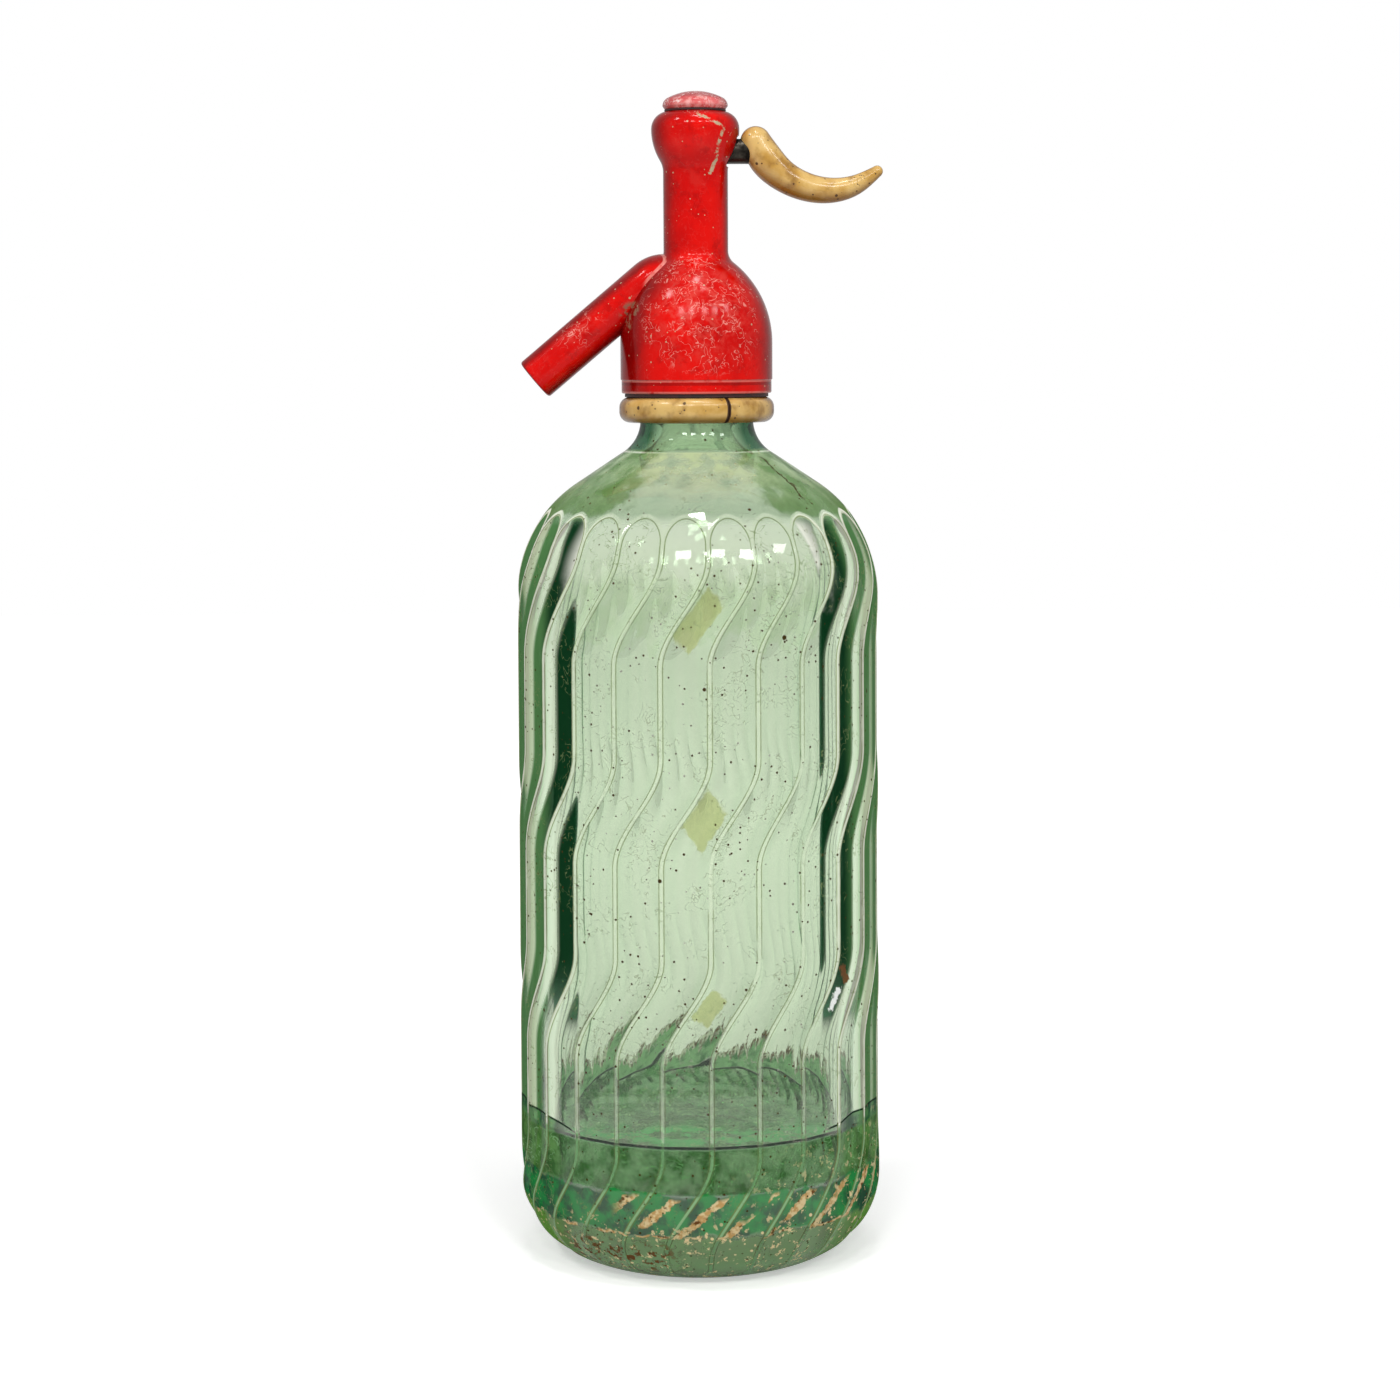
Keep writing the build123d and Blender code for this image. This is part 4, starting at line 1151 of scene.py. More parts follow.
@dataclass(frozen=True)
class Metal:
    """Turned or cast metal that has darkened with age."""

    name: str
    base: str
    tarnish: str
    roughness: float = 0.35
    blotch: float = 4.0
    dulling: float = 0.25

    def material(self) -> Material:
        """Bare metal with a tarnished cloud and fine turning marks."""
        surface = Surface(self.name)
        tarnish = surface.cloud(self.blotch, 0.5, 0.12, detail=5.0, rough=0.65)
        colour = surface.paint(self.base, tarnish, self.tarnish)
        marks = surface.noise(0.5, detail=2.0, stretch=(1.0, 6.0, 1.0))
        dull = {0: tarnish, 3: self.roughness, 4: self.roughness + self.dulling}
        return surface.close(
            Base_Color=colour,
            Metallic=1.0,
            Roughness=surface.node("ShaderNodeMapRange", dull),
            Normal=surface.bump(marks, 0.3, 0.03),
        )


@dataclass(frozen=True)
class Soft:
    """Dull washer stock: rubber, vulcanised fibre or leather."""

    name: str
    base: str
    worn: str
    roughness: float = 0.75
    grain: float = 0.8

    def material(self) -> Material:
        """Dull surface with a fine grain and worn clouds."""
        surface = Surface(self.name)
        colour = surface.paint(self.base, surface.cloud(3.0, 0.55, 0.12, detail=5.0), self.worn)
        return surface.close(
            Base_Color=colour,
            Roughness=self.roughness,
            IOR=1.5,
            Normal=surface.bump(surface.noise(self.grain, detail=3.0), 0.5, 0.08),
        )


# ---------------------------------------------------------------- bottle


@dataclass
class Bottle:
    """Pressed glass bottle with wavy flutes, and the water left in it."""

    foot_radius: float = 49.2
    shoulder_foot_radius: float = 48.5
    heel_radius: float = 22.1
    heel_height: float = 21.5
    bearing_radius: float = 4.4
    bearing_flat: float = 1.2
    shoulder_radius: float = 36.0
    shoulder_height: float = 179.7
    neck_radius: float = 15.1
    neck_fillet: float = 10.0
    neck_height: float = 226.5
    push_up: float = 9.0
    wall: float = 4.6
    neck_bore: float = 9.0
    inner_heel_radius: float = 17.5
    inner_neck_fillet: float = 14.0
    floor_edge: float = 7.0
    floor_crown: float = 13.5
    bead_radius: float = 17.3
    bead_height: float = 244.4
    lip_height: float = 250.0
    lip_corner: float = 1.1
    water_height: float = 38.8
    flute_count: int = 24
    flute_depth: float = 0.9
    flute_phase: float = 3.5
    bend_first: float = 22.5
    bend_spacing: float = 52.0
    bend_count: int = 4
    bend_length: float = 28.0
    flute_top: float = 202.5
    flute_foot: float = 1.8
    arch_rise: float = 6.5
    foot_rise: float = 3.0
    land_half_angle: float = 0.45
    narrowest: float = 0.12
    relaxed_gain: float = 0.43
    relaxed_rise: float = 14.0
    base_rows: int = 17
    crest: float = 0.06
    crest_reach: float = 0.39
    hollow_steps: int = 8
    land_steps: int = 4
    water_gap: float = 0.15
    meniscus: float = 0.9
    meniscus_reach: float = 2.2

    def heel(self) -> Point:
        """Middle of the large arc of the heel."""
        return (self.foot_radius - self.heel_radius, self.heel_height)

    def shoulder(self) -> Point:
        """Middle of the arc of the shoulder."""
        return (self.shoulder_foot_radius - self.shoulder_radius, self.shoulder_height)

    def inner_heel(self) -> Point:
        """Middle of the arc at the foot of the inside."""
        radius = self.inner_heel_radius
        return (self.foot_radius - self.wall - radius, self.floor_edge + radius)

    def outer_rows(self) -> np.ndarray:
        """Outside outline from the middle of the push-up base to the bore at the lip: radius and height."""
        heel, shoulder = self.heel(), self.shoulder()
        reach = self.heel_radius - self.bearing_radius
        drop = self.heel_height - self.bearing_radius
        outer = (heel[0] + math.sqrt(reach**2 - drop**2), self.bearing_radius)
        inner = (outer[0] - self.bearing_flat, self.bearing_radius)
        dome, dome_angle = crown_arc(inner, self.bearing_radius, self.push_up, 12)
        under = math.degrees(math.atan2(outer[1] - heel[1], outer[0] - heel[0]))
        neck = (self.neck_radius + self.neck_fillet, self.neck_height)
        slope = common_tangent(shoulder, self.shoulder_radius, neck, self.neck_fillet)
        low, high = self.flute_top - self.arch_rise - 0.5 - shoulder[1], self.flute_top + 0.5 - shoulder[1]
        arch_low, arch_high = (math.degrees(math.asin(rise / self.shoulder_radius)) for rise in (low, high))
        corner = self.bead_radius - self.lip_corner
        leave = arc(shoulder, self.shoulder_radius, slope, slope, 1)[0]
        meet = arc(neck, self.neck_fillet, slope + 180, slope + 180, 1)[0]
        return joined(
            dome,
            arc(inner, self.bearing_radius, dome_angle + 180, 270, 4),
            run((inner[0], 0), (outer[0], 0), 1),
            arc(outer, self.bearing_radius, -90, under, 5),
            arc(heel, self.heel_radius, under, 0, 24),
            run((self.foot_radius, self.heel_height), (self.shoulder_foot_radius, self.shoulder_height), 118),
            arc(shoulder, self.shoulder_radius, 0, arch_low, 12),
            arc(shoulder, self.shoulder_radius, arch_low, arch_high, 20),
            arc(shoulder, self.shoulder_radius, arch_high, slope, 8),
            run(leave, meet, 4),
            arc(neck, self.neck_fillet, slope + 180, 180, 12),
            run((self.neck_radius, self.neck_height), (self.neck_radius, self.bead_height), 2),
            arc((corner, self.bead_height + self.lip_corner), self.lip_corner, -90, 0, 3),
            arc((corner, self.lip_height - self.lip_corner), self.lip_corner, 0, 90, 3),
            run((corner, self.lip_height), (self.neck_bore, self.lip_height), 1),
        )

    def inner_rows(self) -> np.ndarray:
        """Inside outline from the bore at the lip to the middle of the floor, with a row at the water."""
        radius = self.shoulder_radius - self.wall
        shoulder, heel = self.shoulder(), self.inner_heel()
        neck = (self.neck_bore + self.inner_neck_fillet, self.neck_height)
        slope = common_tangent(shoulder, radius, neck, self.inner_neck_fillet)
        leave = arc(neck, self.inner_neck_fillet, slope + 180, slope + 180, 1)[0]
        meet = arc(shoulder, radius, slope, slope, 1)[0]
        floor, floor_angle = crown_arc(heel, self.inner_heel_radius, self.floor_crown, 8)
        water = (float(self.inner_wall(np.array(self.water_height))), self.water_height)
        return joined(
            run((self.neck_bore, self.lip_height), (self.neck_bore, self.neck_height), 3),
            arc(neck, self.inner_neck_fillet, 180, slope + 180, 9),
            run(leave, meet, 4),
            arc(shoulder, radius, slope, 0, 14),
            run((self.shoulder_foot_radius - self.wall, self.shoulder_height), water, 8),
            run(water, (self.foot_radius - self.wall, heel[1]), 1),
            arc(heel, self.inner_heel_radius, 0, floor_angle - 180, 14),
            floor[::-1],
        )

    def inner_wall(self, height: np.ndarray) -> np.ndarray:
        """Radius of the inside between its foot and the shoulder: a straight line in height."""
        low = self.inner_heel()[1]
        share = (height - low) / (self.shoulder_height - low)
        return self.foot_radius - self.wall + (self.shoulder_foot_radius - self.foot_radius) * share

    def flute_turn(self, height: np.ndarray) -> np.ndarray:
        """Angle of one arris in degrees: phase + one flute for each bend passed, by a smooth step."""
        middles = self.bend_first + self.bend_spacing * np.arange(self.bend_count)
        steps = smooth_step((height[:, None] - middles) / self.bend_length + 0.5).sum(axis=1)
        return self.flute_phase + steps * 360 / self.flute_count

    def run_out(self, height: np.ndarray) -> tuple[np.ndarray, np.ndarray]:
        """How far a height is into the arch at the top and into the foot, as shares of their rises."""
        into_arch = np.maximum(0, height - self.flute_top + self.arch_rise) / self.arch_rise
        into_foot = np.maximum(0, self.flute_foot + self.foot_rise - height) / self.foot_rise
        return into_arch, into_foot

    def fluted(self, rows: np.ndarray) -> tuple[np.ndarray, np.ndarray]:
        """Lays the flutes on the outside.

        Each row is a circle whose hollows are parabolas: radius - depth * fullness^2 * (1 - t^2) for t from
        -1 to 1 across a hollow, where fullness^2 = 1 - into_arch^2 - into_foot^2 and the half width shrinks
        with the fullness. The columns follow the hollows' borders.

        Args:
            rows: radius and height of each row of the outside.

        Returns:
            Points of the grid, and the distance in mm from the hollow's border, positive inside the hollow.
        """
        radius, height = rows[:, 0], rows[:, 1]
        pitch = 360 / self.flute_count
        widest = pitch / 2 - self.land_half_angle
        into_arch, into_foot = self.run_out(height)
        outside = np.arange(len(rows)) > self.base_rows
        into_foot = np.where(outside, into_foot, 2.0)
        fullness = np.sqrt(np.clip(1 - into_arch**2 - into_foot**2, 0, 1))
        relaxed = self.relaxed_gain * smooth_step((height - self.flute_top) / self.relaxed_rise)
        relaxed = self.narrowest + relaxed
        half = widest * np.maximum(fullness, relaxed)
        across = np.linspace(-1, 1, self.hollow_steps + 1)[:-1]
        land = np.arange(self.land_steps) / self.land_steps
        offset = np.concatenate(
            [half[:, None] * across, half[:, None] + (pitch - 2 * half[:, None]) * land], axis=1
        )
        nearest = np.where(offset > pitch / 2, offset - pitch, offset)
        share = np.clip(np.abs(nearest) / np.maximum(widest * fullness, 1e-6)[:, None], 0, 1)
        scale = (radius / self.foot_radius) ** 2
        depth = (self.flute_depth * scale * fullness**2)[:, None] * (1 - share**2)
        arc_length = (radius * np.pi / 180)[:, None]
        gauge = np.sqrt((nearest / widest) ** 2 + into_arch[:, None] ** 2 + into_foot[:, None] ** 2)
        slope = np.hypot(
            nearest / (widest**2 * arc_length),
            (into_arch / self.arch_rise - into_foot / self.foot_rise)[:, None],
        ) / np.maximum(gauge, 1e-3)
        edge = np.clip((1 - gauge) / np.maximum(slope, 0.02), -9, 9)
        rounding = np.clip(1 - np.abs(edge) / self.crest_reach, 0, 1) ** 2
        lowered = self.crest * (fullness**2)[:, None] * np.where(edge < 0, rounding, 1.0)
        reach = radius[:, None] - depth - np.where(edge < 0, lowered, lowered * share**2)
        middles = self.flute_turn(height)[:, None] + (np.arange(self.flute_count) + 0.5) * pitch
        turn = np.radians(middles[:, :, None] + offset[:, None, :]).reshape(len(rows), -1)
        points = turned(np.tile(reach, (1, self.flute_count)), turn, height[:, None])
        return points, np.tile(edge, (1, self.flute_count))

    def glass(self, finish: PressedGlass) -> Piece:
        """Builds the bottle as one closed skin: the outside, over the lip and down the inside."""
        draft = Draft()
        outer, inner = self.outer_rows(), self.inner_rows()
        points, edge = self.fluted(outer[1:])
        rows = draft.add(points, edge=edge)
        draft.skin(rows)
        foot = draft.add(np.array([[0, 0, outer[0, 1]]]), edge=np.array([-9.0]))
        draft.fan(rows[0, ::-1], int(foot[0]))
        turn = np.arctan2(points[-1, :, 1], points[-1, :, 0])
        inside = turned(inner[1:-1, :1], turn, inner[1:-1, 1:])
        numbers = draft.add(inside, inside=np.ones(inside.shape[:2]))
        draft.skin(np.concatenate([rows[-1:], numbers]))
        floor = draft.add(np.array([[0, 0, inner[-1, 1]]]), inside=np.ones(1))
        draft.fan(numbers[-1], int(floor[0]))
        piece = draft.build("bottle", finish.material())
        mount(piece, Body.ROOT, "green_glass", "bottle_glass")
        return piece

    def water(self, finish: StaleWater) -> Piece:
        """Builds the water: its sides a hair into the wall, its level top climbing a little at the glass."""
        heel = self.inner_heel()
        radius = self.inner_heel_radius + self.water_gap
        floor, floor_angle = crown_arc(heel, radius, self.floor_crown - self.water_gap, 8)
        brim = float(self.inner_wall(np.array(self.water_height))) + self.water_gap
        side = joined(
            floor,
            arc(heel, radius, floor_angle - 180, 0, 12),
            run((heel[0] + radius, heel[1]), (brim, self.water_height), 3),
        )
        reach = np.linspace(brim, 0, 40)
        rise = self.meniscus * (1 - smooth_step((brim - reach) / self.meniscus_reach)) * 0.4
        top = np.stack([reach, self.water_height + rise - rise[0]], axis=1)
        draft = Draft()
        draft.lathe(joined(side, top), 144)
        piece = draft.build("soda_water_level", finish.material(), sharp=40)
        mount(piece, Body.ROOT, "soda_water", "soda_water")
        return piece


# ---------------------------------------------------------------- head


@dataclass
class Head:
    """Enamelled casting: bell, tower and bulb with the lever's slot, its spout and its screw cap."""

    bell_radius: float = 20.3
    bell_bore: float = 18.1
    bell_foot: float = 233.6
    bell_arc: float = 27.0
    bell_arc_height: float = 247.0
    band_height: float = 236.8
    band_step: float = 0.25
    rim_chamfer: float = 0.45
    tower_radius: float = 8.6
    tower_fillet: float = 4.0
    bulb_radius: float = 11.7
    bulb_height: float = 303.2
    bulb_lower_arc: float = 16.0
    bulb_upper_arc: float = 4.6
    bulb_fillet: float = 6.0
    bulb_bore: float = 6.2
    bore_floor: float = 287.0
    ceiling: float = 252.5
    slot_half_width: float = 3.5
    slot_low: float = 293.2
    slot_high: float = 301.4
    slot_corner: float = 1.2
    columns: int = 160
    block_columns: int = 20
    spout_columns: int = 96
    spout_tip: Point = (-43.3, 237.3)
    spout_slope: float = 40.0
    spout_radius: float = 5.9
    spout_rim: float = 0.7
    spout_bore: float = 4.4
    spout_bore_depth: float = 33.0
    bore_chamfer: float = 0.35
    spout_length: float = 40.2
    spout_straight: float = 16.0
    root_half_width: float = 8.0
    elbow_radius: float = 6.3
    elbow_tail: float = 4.0
    cap_radius: float = 8.65
    cap_rim: float = 8.05
    cap_foot: float = 308.2
    cap_widest: float = 309.2
    cap_top: float = 313.1
    cap_corner: float = 2.4
    cap_plug: float = 6.1
    cap_plug_foot: float = 304.5

    def skin_rows(self) -> np.ndarray:
        """Outside outline of the casting from the rim of the bell to the top of the bulb."""
        bell = (self.bell_radius - self.bell_arc, self.bell_arc_height)
        foot_blend, bell_angle = blend_above(bell, self.bell_arc, self.tower_fillet, self.tower_radius)
        lower = (self.bulb_radius - self.bulb_lower_arc, self.bulb_height)
        upper = (self.bulb_radius - self.bulb_upper_arc, self.bulb_height)
        mirrored, bulb_angle = blend_above(lower, self.bulb_lower_arc, self.bulb_fillet, self.tower_radius)
        bulb_blend = (mirrored[0], 2 * self.bulb_height - mirrored[1])
        band = self.bell_radius - self.band_step
        step = self.band_height + 2 * self.band_step
        return joined(
            arc((band - self.rim_chamfer, self.bell_foot + self.rim_chamfer), self.rim_chamfer, -90, 0, 4),
            run((band, self.bell_foot + self.rim_chamfer), (band, self.band_height), 6),
            arc((self.bell_radius, self.band_height + self.band_step), self.band_step, 180, 90, 3),
            run((self.bell_radius, step), (self.bell_radius, self.bell_arc_height), 10),
            arc(bell, self.bell_arc, 0, bell_angle, 34),
            arc(foot_blend, self.tower_fillet, bell_angle + 180, 180, 9),
            run((self.tower_radius, foot_blend[1]), (self.tower_radius, bulb_blend[1]), 14),
            arc(bulb_blend, self.bulb_fillet, 180, 180 - bulb_angle, 8),
            arc(lower, self.bulb_lower_arc, -bulb_angle, 0, 26),
            arc(upper, self.bulb_upper_arc, 0, 90, 10),
        )

    def radius_at(self, height: np.ndarray) -> np.ndarray:
        """Radius of the outside at a height, read from the outline."""
        rows = self.skin_rows()
        return np.interp(height, rows[:, 1], rows[:, 0])

    def columns_turn(self) -> np.ndarray:
        """Angles of the casting's columns, from the right-hand border of the block round the slot."""
        return 2 * np.pi * (np.arange(self.columns) - self.block_columns / 2) / self.columns

    def slot_outline(self, angle: np.ndarray) -> np.ndarray:
        """Rounded rectangle of the slot in y and z, met by rays from its middle at given angles."""
        middle = (self.slot_low + self.slot_high) / 2
        half = np.array([self.slot_half_width, (self.slot_high - self.slot_low) / 2])
        ray = np.stack([np.cos(angle), np.sin(angle)], axis=-1)
        square = ray * np.min(half / np.maximum(np.abs(ray), 1e-9), axis=-1, keepdims=True)
        inner = half - self.slot_corner
        over = np.maximum(np.abs(square) - inner, 0)
        corner = (over > 0).all(axis=-1, keepdims=True)
        length = np.maximum(np.linalg.norm(over, axis=-1, keepdims=True), 1e-9)
        rounded = np.sign(square) * (inner + over / length * self.slot_corner)
        return np.where(corner, rounded, square) + np.array([0, middle])

    def pierced(self, draft: Draft, rows: np.ndarray, inward: bool) -> tuple[np.ndarray, np.ndarray]:
        """Turns an outline and leaves the slot open at +X.

        The faces of a block round the slot are left out. Rings between the block's border and the slot's
        outline fill it again: each point moves straight from the border to the outline in y and z, and its x
        is sqrt(radius(z)^2 - y^2).

        Args:
            draft: where the points and faces go.
            rows: radius and height of each row, upwards.
            inward: whether the faces look at the axis.

        Returns:
            Numbers of the grid's points, and of those on the slot's outline, right-hand way round from +X.
        """
        points = turned(rows[:, :1], self.columns_turn(), rows[:, 1:])
        grid = draft.add(points)
        low = int(np.searchsorted(rows[:, 1], self.slot_low - 1.0)) - 1
        high = int(np.searchsorted(rows[:, 1], self.slot_high + 0.8))
        wide = self.block_columns
        step = -1 if inward else 1
        closed = np.concatenate([grid, grid[:, :1]], axis=1)
        for part in (closed[: low + 1], closed[high:], closed[low : high + 1, wide:]):
            draft.skin(part[:, ::step], closed=False)
        block = grid[low : high + 1, : wide + 1]
        border = np.concatenate([block[0, :-1], block[:-1, -1], block[-1, :0:-1], block[:0:-1, 0]])
        start = points.reshape(-1, 3)[border - grid[0, 0]]
        middle = (self.slot_low + self.slot_high) / 2
        outline = self.slot_outline(np.arctan2(start[:, 2] - middle, start[:, 1]))
        share = np.array([0.3, 0.55, 0.75, 0.9, 1.0])[:, None, None]
        flat = (1 - share) * start[None, :, 1:] + share * outline[None]
        radius = np.interp(flat[..., 1], rows[:, 1], rows[:, 0])
        rings = np.concatenate([np.sqrt(radius**2 - flat[..., 0] ** 2)[..., None], flat], axis=-1)
        numbers = np.concatenate([border[None], draft.add(rings)])
        draft.skin(numbers[:, ::step])
        return grid, numbers[-1]

    def casting(self, material: Material) -> Piece:
        """Builds the casting: skin, stepped bore, the slot's walls and the bell's inside."""
        draft = Draft()
        skin = self.skin_rows()
        shell, outer_mouth = self.pierced(draft, skin, inward=False)
        heights = np.concatenate([[self.bore_floor], skin[skin[:, 1] > self.bore_floor + 1, 1]])
        bore, inner_mouth = self.pierced(
            draft, np.stack([np.full(len(heights), self.bulb_bore), heights], axis=1), inward=True
        )
        draft.skin(np.stack([outer_mouth, inner_mouth]))
        draft.skin(np.stack([shell[-1], bore[-1]]))
        floor = draft.add(np.array([[0, 0, self.bore_floor]]))
        draft.fan(bore[0], int(floor[0]))
        hollow = np.array([[self.bell_foot], [self.ceiling]])
        bell = draft.add(turned(self.bell_bore, self.columns_turn(), hollow))
        draft.skin(np.concatenate([shell[:1], bell])[:, ::-1])
        ceiling = draft.add(np.array([[0, 0, self.ceiling]]))
        draft.fan(bell[-1, ::-1], int(ceiling[0]))
        piece = draft.build("head", material, sharp=50)
        mount(piece, Body.ROOT, "red_enamel", "head_body")
        return piece

    def spout(self, material: Material) -> Piece:
        """Builds the spout: rings carried along a straight line and round the elbow, with the bore inside.

        Each ring is center + width * cos(a) * Y + radius * sin(a) * N, where N is square to the path. The
        width grows from the spout's radius to the root's half width by a smooth step.
        """
        slope = math.radians(self.spout_slope)
        tip = np.array([self.spout_tip[0], 0, self.spout_tip[1]])
        ahead = np.array([math.cos(slope), 0, math.sin(slope)])
        side = np.array([math.sin(slope), 0, -math.cos(slope)])
        root = tip + self.spout_length * ahead
        pivot = root + self.elbow_radius * side
        rim = np.linspace(0, np.pi / 2, 6)
        edge = self.spout_rim * (1 - np.cos(rim)), self.spout_radius - self.spout_rim * (1 - np.sin(rim))
        straight = np.concatenate([edge[0], np.linspace(self.spout_rim, self.spout_length, 60)[1:]])
        tall = np.concatenate([edge[1], np.full(59, self.spout_radius)])
        grow = smooth_step((straight - self.spout_straight) / (self.spout_length - self.spout_straight))
        wide = tall + (self.root_half_width - self.spout_radius) * grow
        centers = tip + straight[:, None] * ahead
        normals = np.repeat(-side[None], len(straight), axis=0)
        bend = np.linspace(0, slope, 13)[1:, None]
        round_normal = -side * np.cos(bend) + ahead * np.sin(bend)
        elbow = pivot + self.elbow_radius * round_normal
        tail = elbow[-1] + np.array([[1.0, 0, 0]]) * np.linspace(0, self.elbow_tail, 4)[1:, None]
        centers = np.concatenate([centers, elbow, tail])
        normals = np.concatenate([normals, round_normal, np.repeat(round_normal[-1:], 3, axis=0)])
        tall = np.concatenate([tall, np.full(15, self.spout_radius)])
        wide = np.concatenate([wide, np.full(15, self.root_half_width)])
        turn = np.linspace(0, 2 * np.pi, self.spout_columns, endpoint=False)
        width_axis = np.array([0, 1.0, 0])
        rings = (
            centers[:, None]
            + wide[:, None, None] * np.cos(turn)[None, :, None] * width_axis
            + tall[:, None, None] * np.sin(turn)[None, :, None] * normals[:, None]
        )
        draft = Draft()
        clear = np.hypot(rings[..., 0], rings[..., 1]) - self.radius_at(rings[..., 2])
        rows = draft.add(rings, root=np.clip(1 - np.abs(clear - 0.4) / 0.9, 0, 1))
        draft.skin(rows[:, ::-1])
        draft.lid(rows[-1, ::-1])
        depths = np.array([0.0, self.bore_chamfer, self.spout_bore_depth * 0.5, self.spout_bore_depth])
        reach = self.spout_bore + np.array([self.bore_chamfer, 0.0, 0.0, 0.0])
        bore = (
            (tip + depths[:, None] * ahead)[:, None]
            + reach[:, None, None]
            * (np.cos(turn)[None, :, None] * width_axis + np.sin(turn)[None, :, None] * -side[None, None])
        )
        inner = draft.add(bore)
        draft.skin(np.concatenate([rows[:1], inner]))
        draft.lid(inner[-1])
        piece = draft.build("spout", material, sharp=50)
        mount(piece, Body.ROOT, "red_enamel", "spout_tube")
        return piece

    def cap(self, material: Material) -> Piece:
        """Builds the screw cap: a chamfered rim under a flat dome, and the plug that goes into the bulb."""
        rise = self.cap_top - self.cap_widest
        rim = (self.cap_radius - self.cap_corner, self.cap_widest)
        large = (rim[0] ** 2 + rise**2 - self.cap_corner**2) / (2 * (rise - self.cap_corner))
        angle = math.degrees(math.atan2(large - rise, rim[0]))
        outline = joined(
            run((0, self.cap_plug_foot), (self.cap_plug, self.cap_plug_foot), 1),
            run((self.cap_plug, self.cap_plug_foot), (self.cap_plug, self.cap_foot), 1),
            run((self.cap_plug, self.cap_foot), (self.cap_rim - 0.15, self.cap_foot), 1),
            run((self.cap_rim, self.cap_foot + 0.1), (self.cap_radius - 0.06, self.cap_widest - 0.15), 3),
            arc(rim, self.cap_corner, 0, angle, 12),
            arc((0, self.cap_top - large), large, angle, 90, 14),
        )
        draft = Draft()
        draft.lathe(outline, 128)
        piece = draft.build("cap", material, sharp=50)
        mount(piece, Body.ROOT, "faded_enamel", "top_cap")
        return piece


# ---------------------------------------------------------------- collar and grip


@dataclass
class Collar:
    """Split ring under the bead: two moulded halves with rounded edges and a sleeve up into the bell."""

    radius: float = 20.7
    bore: float = 15.25
    foot: float = 225.9
    top: float = 232.7
    corner: float = 2.8
    sleeve: float = 18.0
    sleeve_top: float = 244.4
    split: float = -66.4
    gap: float = 0.8
    bow: float = 1.1
    steps: int = 90

    def outline(self) -> np.ndarray:
        """Closed section of a half, the right-hand way round, as radius and height."""
        middle = self.radius - self.corner
        return joined(
            run((self.bore, self.foot), (middle, self.foot), 3),
            arc((middle, self.foot + self.corner), self.corner, -90, 0, 9),
            arc((middle, self.top - self.corner), self.corner, 0, 90, 9),
            run((self.sleeve, self.top), (self.sleeve, self.sleeve_top), 2),
            run((self.sleeve, self.sleeve_top), (self.bore, self.sleeve_top), 1),
            run((self.bore, self.sleeve_top), (self.bore, self.foot), 4)[:-1],
        )

    def half(self, name: str, node: str, start: float, material: Material) -> Piece:
        """Builds one half: the section turned through half a circle, its ends bowed like a worn parting line.

        Args:
            name: name of the piece.
            node: CAD node that it stands for.
            start: angle of the parting line at which it starts, in degrees.
            material: its finish.

        Returns:
            The piece.
        """
        section = self.outline()
        share = np.linspace(0, 1, self.steps + 1)
        share = 0.5 - 0.5 * np.cos(np.pi * share)
        bend = self.bow * np.sin((section[:, 1] - self.foot) / (self.top - self.foot) * np.pi * 0.9)
        bend = np.where(section[:, 1] > self.top, 0.0, bend)
        even = start + self.gap / 2 + share[:, None] * (180 - self.gap)
        turn = np.radians(even + bend * (1 - 2 * share[:, None]) ** 12)
        draft = Draft()
        ends = np.repeat((90 - np.abs(share * 180 - 90))[:, None], len(section), axis=1)
        rows = draft.add(turned(section[None, :, 0], turn, section[None, :, 1]), split=ends)
        draft.skin(rows[:, ::-1])
        draft.lid(rows[0])
        draft.lid(rows[-1, ::-1])
        piece = draft.build(name, material, sharp=50)
        mount(piece, Body.ROOT, "cream_plastic", node)
        return piece


